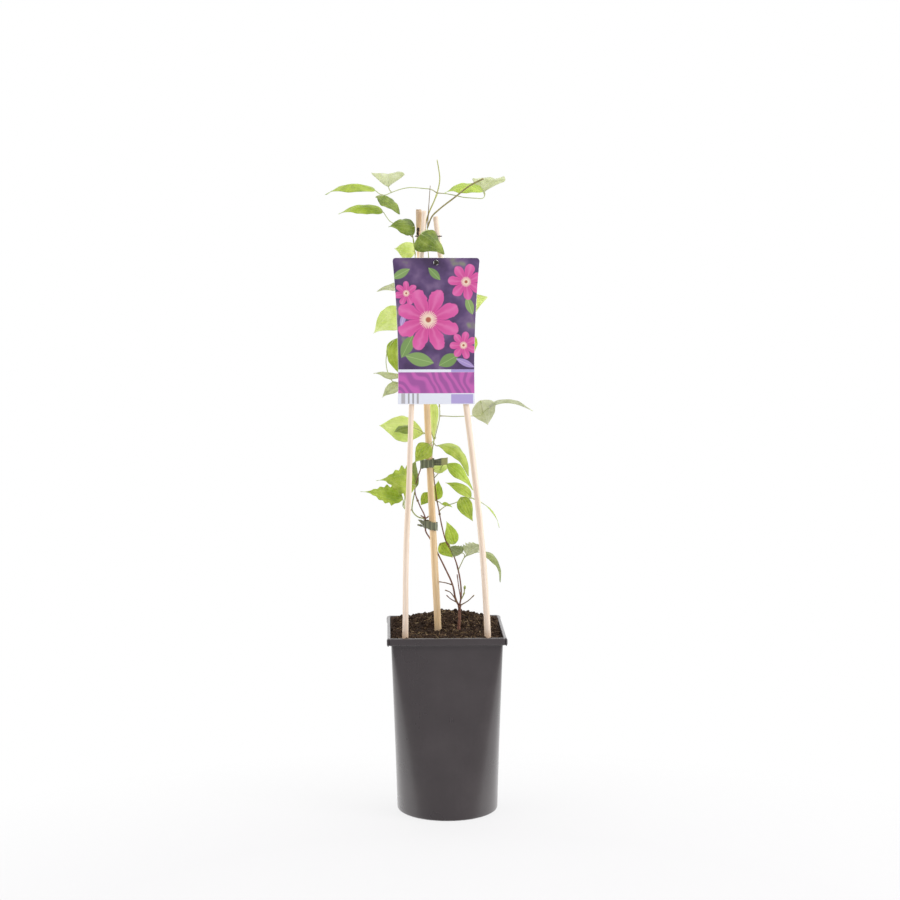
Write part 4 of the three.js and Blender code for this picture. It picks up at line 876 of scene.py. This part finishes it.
leaf_stalk = stem_finish("leaf_stalk", 1600.0, 70.0, (0.34, "9aa860", 0.5, "b9c486", 0.68, "d3dbab"),
                         (0, "7d5a3c", 1, "7d5a3c"), 0.0003, Roughness=0.5, Specular_IOR_Level=0.35)


def leaf_blade(build, looks, seed, start, tip, face, width, arch, fold=0.25, belly=0.62, point=1.1,
               cut=False):
    """A blade with its two sides, set on the end of its stalk."""
    along = tip - start
    length = np.linalg.norm(along)
    forward = along / length
    side = unit(np.cross(forward, face))
    up = np.cross(side, forward)
    curl, sway, crimp = np.random.default_rng(seed).uniform(0, 6.28, 3)

    t = np.linspace(0.02, 1, BLADE_ROWS + 1)[:-1]
    u = (0.35 * t + 0.65 * t ** 1.5)[:, None]
    v = np.linspace(-1, 1, BLADE_COLUMNS)[None, :]
    half = 0.5 * width * np.sin(np.pi * u ** belly) ** point
    if cut:
        half = half * (1 + (np.interp(u, CUT_ROWS, CUT_NOTCHES) - 1) * np.abs(v) ** 2)
    half = half * (1 + 0.012 * np.abs(v) ** 3 * np.sin(9 * np.pi * u + curl + v))
    across = half * v
    hump = np.sin(np.pi * u)
    pads = np.abs(np.sin((length * u - 0.75 * np.abs(across)) * np.pi / 5.2))
    rise = (arch * length * np.sin(np.pi * u ** 0.85) + fold * np.abs(across)
            + 0.05 * width * v * v * np.sin(3 * np.pi * u + np.where(v > 0, 1.3, 0.0))
            + 0.01 * width * v * v * np.sin(8 * np.pi * u + crimp + 2 * v) * hump
            + 0.32 * pads * np.minimum(1, 4 * np.abs(v)) * (1 - np.abs(v) ** 3) * hump
            - 0.3 * np.exp(-(across / 0.7) ** 2) * (1 - u))
    aside = across + 0.012 * length * hump * math.sin(sway)
    sheet = start + (length * u)[..., None] * forward + aside[..., None] * side + rise[..., None] * up
    normal = np.cross(np.gradient(sheet, axis=1), np.gradient(sheet, axis=0))
    normal /= np.maximum(np.linalg.norm(normal, axis=2), 1e-9)[..., None]
    depth = 0.5 * BLADE_THICK * (1 - 0.45 * np.abs(v) ** 8)[..., None]

    whole = np.ones(across.shape)
    kind = 37.0 * seed % 300
    lie = [*np.stack([across, length * u * whole, kind * whole], 2).reshape(-1, 3),
           (0, 0, kind), (0, length, kind)]
    kind = 0.1 * seed
    share = [*np.stack([v * whole, u * whole, kind * whole], 2).reshape(-1, 3), (0, 0, kind), (0, 1, kind)]
    points = []
    for way in (1, -1):
        points += [*(sheet + way * depth * normal).reshape(-1, 3), start + way * 0.3 * BLADE_THICK * up,
                   tip + way * 0.3 * BLADE_THICK * up]
    rows, columns = across.shape
    heel, last = rows * columns, (rows - 1) * columns
    top = [(a, a + 1, a + columns + 1, a + columns)
           for i in range(rows - 1) for a in range(i * columns, (i + 1) * columns - 1)]
    top += [(heel, j + 1, j) for j in range(columns - 1)]
    top += [(heel + 1, last + j, last + j + 1) for j in range(columns - 1)]
    under = [tuple(k + heel + 2 for k in reversed(quad)) for quad in top]
    rim = [heel, *range(columns - 1, heel, columns), heel + 1, *range(last, -1, -columns)]
    under += [(b, a, a + heel + 2, b + heel + 2) for a, b in zip(rim, rim[1:] + rim[:1])]
    build.add(points, top + under, lie * 2, share * 2)
    build.looks[-len(top + under):] = [looks[0]] * len(top) + [looks[1]] * len(under)


stalk_down = Build()
for order, (name, (slot, blades)) in enumerate(LEAVES.items()):
    leaf = Build()
    used = sorted({blade[0] for blade in blades})
    materials = [side for tone in used for side in leaf_sides[tone]] + [leaf_stalk]
    for k, (tone, width, tip, face, form, stalk) in enumerate(blades):
        look, seed = 2 * used.index(tone), 7 * order + k
        start, tip = np.array(stalk[-1], float), np.array(tip, float)
        leaf_blade(leaf, (look, look + 1), seed, start, tip, face, width, *form)
        along = tip - start
        up = unit(np.cross(np.cross(along, face), along))
        rise = form[0] * np.linalg.norm(along) * math.sin(math.pi * 0.14 ** 0.85)
        route = [*stalk, tuple(start + 0.14 * along + (rise - 0.35) * up)]     # on under the blade's foot
        length = smooth_route(route, 8)[1]
        foot = 1.0 if k == 0 else 0.45
        rod(leaf, route, lambda t: 0.57 - 0.14 * t + 0.22 * foot * math.exp(-(t * length / 2.2) ** 2)
            + 0.1 * math.exp(-((t - 0.86) * length / 2) ** 2) - 0.234 * max(0, t - 0.93) / 0.07,
            around=10, steps=max(10, int(length * 1.1)), look=len(materials) - 1,
            relief=lambda t, turn: 0.06 * np.cos(3 * turn))
        leaf.share[-1][:, 1] = 0.55 * foot * np.clip(1 - leaf.share[-1][:, 0] * length / 14, 0, 1)
        down(stalk_down, route, 0.55, int(length * 1.3), 100 + seed, 0.7)
    fit(leaf.piece(name + "_blades", *materials), slot, name)
fit(stalk_down.piece("stalk_down", downy, smooth=False), "leaf_pale")

# ---------------------------------------------------------------- ties
# Two lengths of soft grey-green tying tape hold the vine to the middle cane, gathered tight and pinched
# together in a tail. A thin dark twist tie binds the three cane tops.
TAPE_WIDTH = 9.4
TAPE_MIDDLE = -22                 # the place across the plant about which a tape tilts
TAIL_ROWS, TAIL_AROUND = 25, 18


def even_loop(rods, offset, count):
    """The tight loop round some rods, each given by its middle and radius, and the way out at each point."""
    turn = CIRCLE * np.arange(40) / 40
    points = sorted((x + (radius + offset) * math.cos(a), y + (radius + offset) * math.sin(a))
                    for x, y, radius in rods for a in turn)
    loop = []
    for row in (points, points[::-1]):
        chain = []
        for p in row:
            while len(chain) > 1 and ((chain[-1][0] - chain[-2][0]) * (p[1] - chain[-2][1])
                                      - (chain[-1][1] - chain[-2][1]) * (p[0] - chain[-2][0])) <= 1e-6:
                chain.pop()
            chain.append(p)
        loop += chain[:-1]
    points, at = evenly(np.array(loop + loop[:1]), count, endpoint=False)
    ahead = np.roll(points, -1, 0) - np.roll(points, 1, 0)
    return points, unit(np.stack([ahead[:, 1], -ahead[:, 0]], 1)), at


tape_finish, tree, shader = finish("tying_tape", Specular_IOR_Level=0.5)
soft, marks = use(tree, moulding, Grain=0.8), split(read(tree, "share"))
# The tape's first share picks its colour. On the band this is painted shade, darker in the hollows of the
# gathers, and painted highlight, paler on their ridges. Along the tails it varies in waves.
olive_fold_shading = tones(marks["X"], 0.0, "4c5140", 0.4, "6e7359", 0.75, "8d9173", 1.0, "b9bda4")
dress(shader, between(marks["Y"], olive_fold_shading, "bdbb7e"), linear(soft["Clouds"], 0.25, 0.22),
      soft["Pits"], 0.2, 0.0004)


def looped_skin(rows, around):
    """A skin whose last row is joined to its first."""
    return [tuple(k % (rows * around) for k in face) for face in skin(rows + 1, around)]


def tape(name, node, rods, foot, tilt, tails, seed):
    """A band of tape with upright gathers, and its tails: from, to, foot, height, slant, paleness.

    tilt is how much it rises to the right. A tail is pale past its half.
    """
    build = Build()
    count, rows = 260, 15
    points, out, at = even_loop(rods, 0.85, count)
    beats = np.random.default_rng(seed).uniform(0, 6.28, 5)
    ring = at * CIRCLE / (at[-1] * (1 + 1 / count))
    gather = sum(np.sin(n * ring + beats[k]) / (k + 1.5) for k, n in enumerate((9, 17, 26, 41)))
    edge = 0.28 * np.sin(7 * ring + beats[2]) + 0.2 * np.sin(19 * ring + beats[3])
    shell = []
    for way, heights in ((1, range(rows)), (-1, reversed(range(rows)))):
        for h in (i / (rows - 1) for i in heights):
            push = 0.2 * gather * (0.55 + 0.9 * abs(h - 0.5)) + 0.12 * np.sin(5 * ring + 6 * h + beats[1])
            spot = points + out * (push + way * 0.14)[:, None]
            z = (foot + tilt * (spot[:, 0] - TAPE_MIDDLE) + TAPE_WIDTH * h + edge * (2 * h - 1)
                 + 0.35 * np.sin(3 * ring + beats[0]) * (h - 0.5))
            shell.append(np.column_stack([spot, z]))
    # Painted shade and highlight on the band: paler where a gather stands out, darker where it sinks in.
    light = np.tile(np.clip(0.42 + 0.3 * gather, 0, 1), len(shell))
    build.add(np.concatenate(shell), looped_skin(len(shell), count), share=np.outer(light, (1, 0, 0)))
    for start, end, tail_foot, height, slant, paleness in tails:
        start, end = np.array(start, float), np.array(end, float)
        ahead = unit(end - start)
        beside = np.array([-ahead[1], ahead[0]])
        tail = []
        for t in (k / (TAIL_ROWS - 1) for k in range(TAIL_ROWS)):
            middle = start + (end - start) * t + beside * (0.5 * math.sin(5 * t + seed) * t)
            for h, way in [(j / 8, 1) for j in range(9)] + [(1 - j / 8, -1) for j in range(9)]:
                pinch = 0.28 + 0.25 * t * abs(math.sin(3.2 * h + 2 * t))
                spot = middle + beside * (way * pinch + 0.25 * math.sin(6 * h + 7 * t + seed))
                spread = 0.5 + (h - 0.5) * (0.82 + 0.18 * t)
                tail.append((*spot, tail_foot + tilt * (spot[0] - TAPE_MIDDLE) + slant * t
                             + (height - slant * t) * spread + 0.25 * math.sin(9 * t + 3 * h)))
        ends = [tuple(reversed(range(TAIL_AROUND))), tuple(range(len(tail) - TAIL_AROUND, len(tail)))]
        tail = np.array(tail)
        tone = 0.42 + 0.22 * np.sin(tail[:, 2] * 1.9) + 0.1 * np.sin(tail[:, 0] * 2.3)
        along = np.linalg.norm(tail[:, :2] - start, axis=1) / np.linalg.norm(end - start)
        pale = np.clip((along - 0.52) * 9, 0, 1) * paleness
        build.add(tail, skin(TAIL_ROWS, TAIL_AROUND) + ends, share=np.column_stack([tone, pale, 0 * tone]))
    fit(build.piece(name, tape_finish), "tape_plastic", node)


tape("tape_upper", "tape_tie_upper",
     [(-20.7, -7.3, 4.1), (-21.3, -7.7, 4.1), (-30, -8.1, 0.8), (-17.5, -2.5, 1.2)],
     406.5, 0.12, [((-16.5, -5.8), (0, -8), 406.8, 8.8, 0, 0.95)], 3)
tape("tape_lower", "tape_tie_lower",
     [(-16.8, -5, 4.2), (-17.4, -6, 4.2), (-25.5, -2.6, 1.5), (-25.4, -6.6, 1.4)],
     334.3, -0.22, [((-27, -2.5), (-35, -1.5), 334.3, 2.4, 0, 0.2),
                    ((-26.2, -7.2), (-34.5, -8.6), 334.6, 8.6, 7.4, 0.1)], 8)

tie_finish, tree, shader = finish("twist_tie", Specular_IOR_Level=0.45)
soft = use(tree, moulding, Grain=1.3)
dress(shader, tones(soft["Clouds"], 0.35, "1f1b1a", 0.6, "38302c"), linear(soft["Pits"], 0.3, 0.3),
      soft["Pits"], 0.4, 0.0003)


def closed_cord(build, points, radius, around=8):
    """A cord that runs round and closes on itself."""
    ahead = unit(np.roll(points, -1, 0) - np.roll(points, 1, 0))
    side = unit(np.cross(ahead, (0.13, 0.21, 0.97)))
    turn = np.linspace(0, CIRCLE, around, endpoint=False)[:, None, None]
    cord = points + radius * (np.cos(turn) * side + np.sin(turn) * np.cross(ahead, side))
    build.add(cord.transpose(1, 0, 2).reshape(-1, 3), looped_skin(len(points), around))


cane_binding = Build()
gathered = [(-29, -24, 2.9), (-32.4, -13.4, 3.6), (-11.4, -18.9, 3.2), (-25.7, -10.9, 0.95)]
points, out, at = even_loop(gathered, 0.95, 320)
twist = at * CIRCLE / at[-1] * 11
for way in (0, math.pi):
    closed_cord(cane_binding, np.column_stack([points + out * (0.3 * np.cos(twist + way))[:, None],
                                               672.9 + 0.36 * np.sin(twist + way)]), 0.36)
for turn in range(3):             # its two ends, twisted round each other into a thick knot that stands up
    spin = np.linspace(0, 1, 60)
    a = spin * 15 + turn * 2.1
    knot = np.column_stack([-33.9 - 0.4 * spin + (1.1 + 0.5 * np.sin(a * 0.7)) * np.cos(a),
                            -20.8 - 0.9 * spin + (0.9 + 0.3 * np.cos(a * 0.6)) * np.sin(a),
                            673.2 + 9.2 * np.sin(1.5 * spin) - turn * 0.5])
    rod(cane_binding, [(-33.6, -18.8, 672.9), *knot], lambda t: 0.46, around=8, steps=150)
fit(cane_binding.piece("cane_binding", tie_finish), "tie_plastic", "cane_tie")

# ---------------------------------------------------------------- label
# A picture label of thin white plastic, printed on its front and hung by a black elastic loop from the
# right cane. The print is a plain garden picture of round daisies and leaves over two coloured bands.
LABEL_FOOT = (-13.8, -37.2, 482.5)
LABEL_HEIGHT = 166.2
LABEL_TOP, LABEL_BASE = 49.5, 44          # half its width at the top and at the foot
LABEL_LEAN = math.asin(7.6 / LABEL_HEIGHT)
LABEL_LAYERS = [(0.0, 0.25), (0.25, 0.0), (0.65, 0.0), (0.82, 0.07), (0.9, 0.25)]    # height and inset
HOLE_HEIGHT, HOLE_RADIUS = LABEL_HEIGHT - 5.5, 3.0


def bow(a, b, c, count):
    """Points on the soft curve from a to c that leans towards b, without its last one."""
    t = np.linspace(0, 1, count, endpoint=False)[:, None]
    return (1 - t) ** 2 * np.array(a) + 2 * t * (1 - t) * np.array(b) + t * t * np.array(c)


def label_outline(inset):
    top, base, high = LABEL_TOP - inset, LABEL_BASE - inset, LABEL_HEIGHT - inset
    foot, middle, waist = 1 + inset, LABEL_HEIGHT / 2, (LABEL_TOP + LABEL_BASE) / 2 - 5 - inset
    return np.concatenate([
        bow((base - 1, inset), (base, inset), (base, foot), 5),
        bow((base, foot), (waist, middle), (top, high - 4), 28),
        bow((top, high - 4), (top, high), (top - 4, high), 12),
        bow((top - 4, high), (0, high), (4 - top, high), 16),
        bow((4 - top, high), (-top, high), (-top, high - 4), 12),
        bow((-top, high - 4), (-waist, middle), (-base, foot), 28),
        bow((-base, foot), (-base, inset), (1 - base, inset), 5)])


def on_label(flat, height):
    """From the label's own plane, x across and y up, to where it hangs. height is out of its front."""
    x, y = flat[:, 0], flat[:, 1]
    s, c = math.sin(LABEL_LEAN), math.cos(LABEL_LEAN)
    return np.column_stack([x, y * s - height * c, y * c + height * s]) + LABEL_FOOT


def hole_ring(inset):
    return (HOLE_RADIUS + inset) * polar(np.linspace(0, CIRCLE, 40, endpoint=False)) + (0, HOLE_HEIGHT)


plate = Build()                   # its materials: 0 the printed front and the hole's edge, 1 the white back
outer, inner = ([make(inset) for _, inset in LABEL_LAYERS] for make in (label_outline, hole_ring))
for rings, look in ((outer, 1), (inner, 0)):
    faces = skin(len(rings), len(rings[0]))
    plate.add(np.concatenate([on_label(ring, height) for ring, (height, _) in zip(rings, LABEL_LAYERS)]),
              faces if look else [face[::-1] for face in faces],
              lie=np.insert(np.concatenate(rings), 2, 0, axis=1), look=look)
for k, look in ((0, 1), (4, 0)):
    flat, faces = filled([outer[k], inner[k][::-1]])
    a, b, c = (flat[i] for i in faces[0])
    anticlockwise = (b[0] - a[0]) * (c[1] - a[1]) - (b[1] - a[1]) * (c[0] - a[0]) > 0
    plate.add(on_label(flat, LABEL_LAYERS[k][0]),
              faces if anticlockwise == (k == 4) else [face[::-1] for face in faces],
              lie=np.insert(flat, 2, 0, axis=1), look=look)


def off(tree, given):
    """How far across and up from a motif's own middle, in millimetres."""
    flat = split(read(tree, "lie"))
    return minus(flat["X"], given["X"]), minus(flat["Y"], given["Y"])


def distance(x, y):
    return calc("SQRT", plus(times(x, x), times(y, y)))


def daisy(tree, given):
    x, y = off(tree, given)
    reach = over(distance(x, y), given["Size"])
    heading = linear(speckle(read(tree, "lie"), 0.12), 0.25, plus(calc("ARCTAN2", y, x), given["Turn"]))
    lobe = size_of(calc("COSINE", times(heading, times(given["Petals"], 0.5))))
    limit = linear(calc("POWER", lobe, 0.55), 0.55, 0.45)
    seam = minus(1.0, times(lobe, 2.4), clamp=True)
    fringe = linear(size_of(calc("SINE", times(heading, 15.0))), 0.16, 0.14)
    return {"Petals": times(minus(limit, reach), 34.0, clamp=True), "Bars": calc("POWER", lobe, 14.0),
            "Depth": linear(reach, 0.35, times(seam, 0.6)),
            "Stamens": times(minus(fringe, reach), 26.0, clamp=True),
            "Heart": times(minus(0.1, reach), 30.0, clamp=True)}


def printed_leaf(tree, given):
    x, y = off(tree, given)
    s, c = calc("SINE", given["Turn"]), calc("COSINE", given["Turn"])
    part_way = over(plus(times(x, c), times(y, s)), given["Length"])
    across = size_of(minus(times(y, c), times(x, s)))
    swell = minus(1.0, times(part_way, part_way), clamp=True)
    return {"Shape": times(minus(times(swell, given["Width"]), across), 1.6, clamp=True),
            "Rib": minus(1.0, times(across, 2.0), clamp=True)}


# The print's motifs, each drawn about its own middle: size and place in millimetres, turn in radians.
blossom = effect("daisy", {"X": 0.0, "Y": 0.0, "Size": 30.0, "Petals": 9.0, "Turn": 0.0}, daisy)
leaf_shape = effect("printed leaf", {"X": 0.0, "Y": 0.0, "Length": 14.0, "Width": 6.0, "Turn": 0.0},
                    printed_leaf)
printed, tree, shader = finish("label_print", Specular_IOR_Level=0.5)
lie = read(tree, "lie")
flat = split(lie)
picture = tones(speckle(lie, 0.035, 3.0), 0.36, "4a365c", 0.5, "5d4672", 0.62, "7a6288", 0.72, "8f9a72")
for x, y, length, width, turn, dark, light in (
        (-33, 66, 15, 7, 1.1, "6f9150", "abc983"), (-19, 51, 17, 8, -0.25, "7b9c58", "b3cf8c"),
        (14, 50, 13, 7.5, 0.5, "6f9150", "a6c580"), (38, 112, 11, 5, 1.9, "82a25c", "bcd494"),
        (-40, 148, 12, 5, 0.5, "7b9c58", "b6d08e"), (-2, 148, 10, 4.5, -0.8, "6f9150", "aac782"),
        (33, 47, 12, 4, 2.7, "9c86c4", "d9c4e6"), (-38, 96, 9, 3.4, 1.3, "a78cc9", "e2cfe9")):
    motif = use(tree, leaf_shape, X=x, Y=y, Length=length, Width=width, Turn=turn)
    picture = between(motif["Shape"], picture, between(linear(motif["Rib"], 0.7, 0.15), dark, light))
for x, y, size, petals, turn in ((34, 139, 21, 7, 0.4), (31, 67, 16, 7, 1.2), (-34, 126, 14, 7, 0.1),
                                 (-9, 96, 37, 8, 0.25)):
    motif = use(tree, blossom, X=x, Y=y, Size=size, Petals=petals, Turn=turn)
    petal = tones(motif["Depth"], 0.0, "c9448c", 0.3, "dd5fa6", 0.62, "d04f99", 1.0, "9c3470")
    petal = between(times(motif["Bars"], 0.45), petal, "e887bd")
    for part, colour in (("Petals", petal), ("Stamens", "f3dcc4"), ("Heart", "b4614f")):
        picture = between(motif[part], picture, colour)


def within(place, low, high):
    """1 between two places on the label, with a sharp edge."""
    return times(times(minus(place, low), 6.0, clamp=True), times(minus(high, place), 6.0, clamp=True))


ring = distance(plus(flat["X"], 46.0), minus(flat["Y"], 2.0))
wave = calc("SINE", linear(speckle(lie, 0.03, 1.0), 26.0, times(ring, 0.75)))
waves = between(linear(wave, 0.9, 0.5, clamp=True), "c766b4", "a458a0")
EDGE = 60.0                       # past the label's side
for low, high, left, right, colour in (
        (-1.0, 39.7, -EDGE, EDGE, "e7ebf5"), (36.5, 39.7, 16.8, EDGE, "b0a2d8"),
        (12.4, 36.5, -EDGE, EDGE, waves), (0.6, 11.4, 16.8, 42.0, "b6a8da"),
        (0.6, 12.4, -40, -35.5, "b9b7bb"), (0.6, 12.4, -32.5, -30.5, "a9a7ab"),
        (0.6, 12.4, -27.5, -25.5, "9f9da1"), (0.6, 12.4, -22.5, -20, "b1afb3")):
    picture = between(times(within(flat["Y"], low, high), within(flat["X"], left, right)), picture, colour)
sheet = use(tree, moulding, Grain=0.5)
dress(shader, picture, linear(sheet["Clouds"], 0.15, 0.25), sheet["Clouds"], 0.1, 0.002)

label_white, tree, shader = finish("label_white", Specular_IOR_Level=0.5)
sheet = use(tree, moulding, Grain=0.5)
dress(shader, tones(sheet["Clouds"], 0.3, "e6e5ea", 0.7, "f4f3f6"), linear(sheet["Dust"], 0.3, 0.3))
fit(plate.piece("label_plate", printed, label_white), "label_plastic", "label")

# A black elastic cord round the right cane. Its ends come forward through the label's hole and are knotted.
LABEL_TIE = [
    (-14.9, -31.5, 642.6), (-14.9, -28.5, 642.4), (-14.5, -24, 642.4), (-12.4, -18.8, 642.6),
    (-8, -16.7, 643), (-3.3, -18.2, 643.2), (-2.4, -22.5, 643.4), (-5.2, -26.3, 643.4),
    (-10, -27.8, 643.4), (-12.6, -29.5, 643.4), (-12.7, -31.5, 643.4), (-13.8, -32.4, 643)]
loop, _ = smooth_route(LABEL_TIE * 3, 900)      # three rounds, of which one from the middle is kept
first = np.argmin(np.linalg.norm(loop[:450] - LABEL_TIE[0], axis=1) + (np.arange(450) < 200) * 99)
second = first + 60 + np.argmin(np.linalg.norm(loop[first + 60:] - loop[first], axis=1))
elastic = Build()
closed_cord(elastic, loop[first:second], 0.8, 12)
t = np.linspace(0, CIRCLE, 120, endpoint=False)
wide = 1.6 + 0.62 * np.cos(3 * t)
knot = np.column_stack([wide * np.cos(2 * t), 0.62 * np.sin(3 * t), wide * np.sin(2 * t)])
closed_cord(elastic, knot + (-13.8, -32.2, 643), 0.86, 10)
fit(elastic.piece("label_elastic", tie_finish), "tie_plastic", "label_tie")

# ---------------------------------------------------------------- studio
# A white paper sweep that glows from below and fades into white light, brighter behind and beside the
# plant than in front of it, with a large soft window in front on each side.
PAPER_FULL, PAPER_GONE = 0.45, 0.8        # how far from the plant's front the paper shows and is lost
PAPER_GLOW = 0.75                         # the share of white light that comes up through it everywhere
SURROUNDINGS = 1.5
sweep = Build()
sweep.add([(-6000, -3000, 0), (6000, -3000, 0), (6000, 6000, 0), (-6000, 6000, 0)], [(0, 1, 2, 3)])
paper, tree, shader = finish("white_paper", Roughness=0.9, Specular_IOR_Level=0.1)
dress(shader, tones(speckle(space(tree), 3.0), 0.3, "c4c2c5", 0.7, "c8c6c8"))
where = put(tree, "NewGeometry")["Position"]
off_middle = put(tree, "VectorMath", {0: where, 1: (0.0, -0.55, 0.0)}, operation="DISTANCE")["Value"]
gone = times(minus(off_middle, PAPER_FULL), 1 / (PAPER_GONE - PAPER_FULL), clamp=True)
gone = linear(gone, 1 - PAPER_GLOW, PAPER_GLOW)
clear = put(tree, "BsdfTransparent")[0]
tree.links.new(put(tree, "MixShader", {0: gone, 1: shader.outputs[0], 2: clear})[0],
               tree.nodes["Material Output"].inputs["Surface"])
sweep.piece("studio_floor", paper)

world = bpy.data.worlds.new("studio")
world.use_nodes = True
tree = world.node_tree
sky = put(tree, "SeparateXYZ", {0: put(tree, "TexCoord")["Generated"]})
behind = linear(sky["Y"], 0.5, 0.56)      # 0 in front of the plant, 1 behind it
glow = tones(behind, 0.0, (0.36, 0.35, 0.37, 1), 0.38, (0.46, 0.45, 0.46, 1), 0.5, (0.98, 0.98, 0.99, 1),
             1.0, (1, 1, 1, 1))
soft = put(tree, "Background", {"Color": glow, "Strength": SURROUNDINGS})[0]
seen = put(tree, "Background", {"Color": (1, 1, 1, 1), "Strength": 1.0})[0]
ray = put(tree, "LightPath")["Is Camera Ray"]
tree.links.new(put(tree, "MixShader", {0: ray, 1: soft, 2: seen})[0],
               tree.nodes["World Output"].inputs["Surface"])
bpy.context.scene.world = world
bpy.context.scene.view_settings.view_transform = "Standard"

for name, place, aim, size, energy in (   # the two large soft windows, whose light is in watts
        ("window_left", (-1.9, -1.3, 2.3), (0, 0, 0.4), (1.4, 1.4), 14),
        ("window_right", (2.0, -1.2, 1.8), (0, 0, 0.35), (1.2, 1.4), 36)):
    light = bpy.data.lights.new(name, "AREA")
    light.shape = "RECTANGLE"
    light.size, light.size_y, light.energy = *size, energy
    lamp = bpy.data.objects.new(name, light)
    lamp.location = place
    lamp.rotation_euler = (Vector(aim) - Vector(place)).to_track_quat("-Z", "Y").to_euler()
    bpy.context.collection.objects.link(lamp)
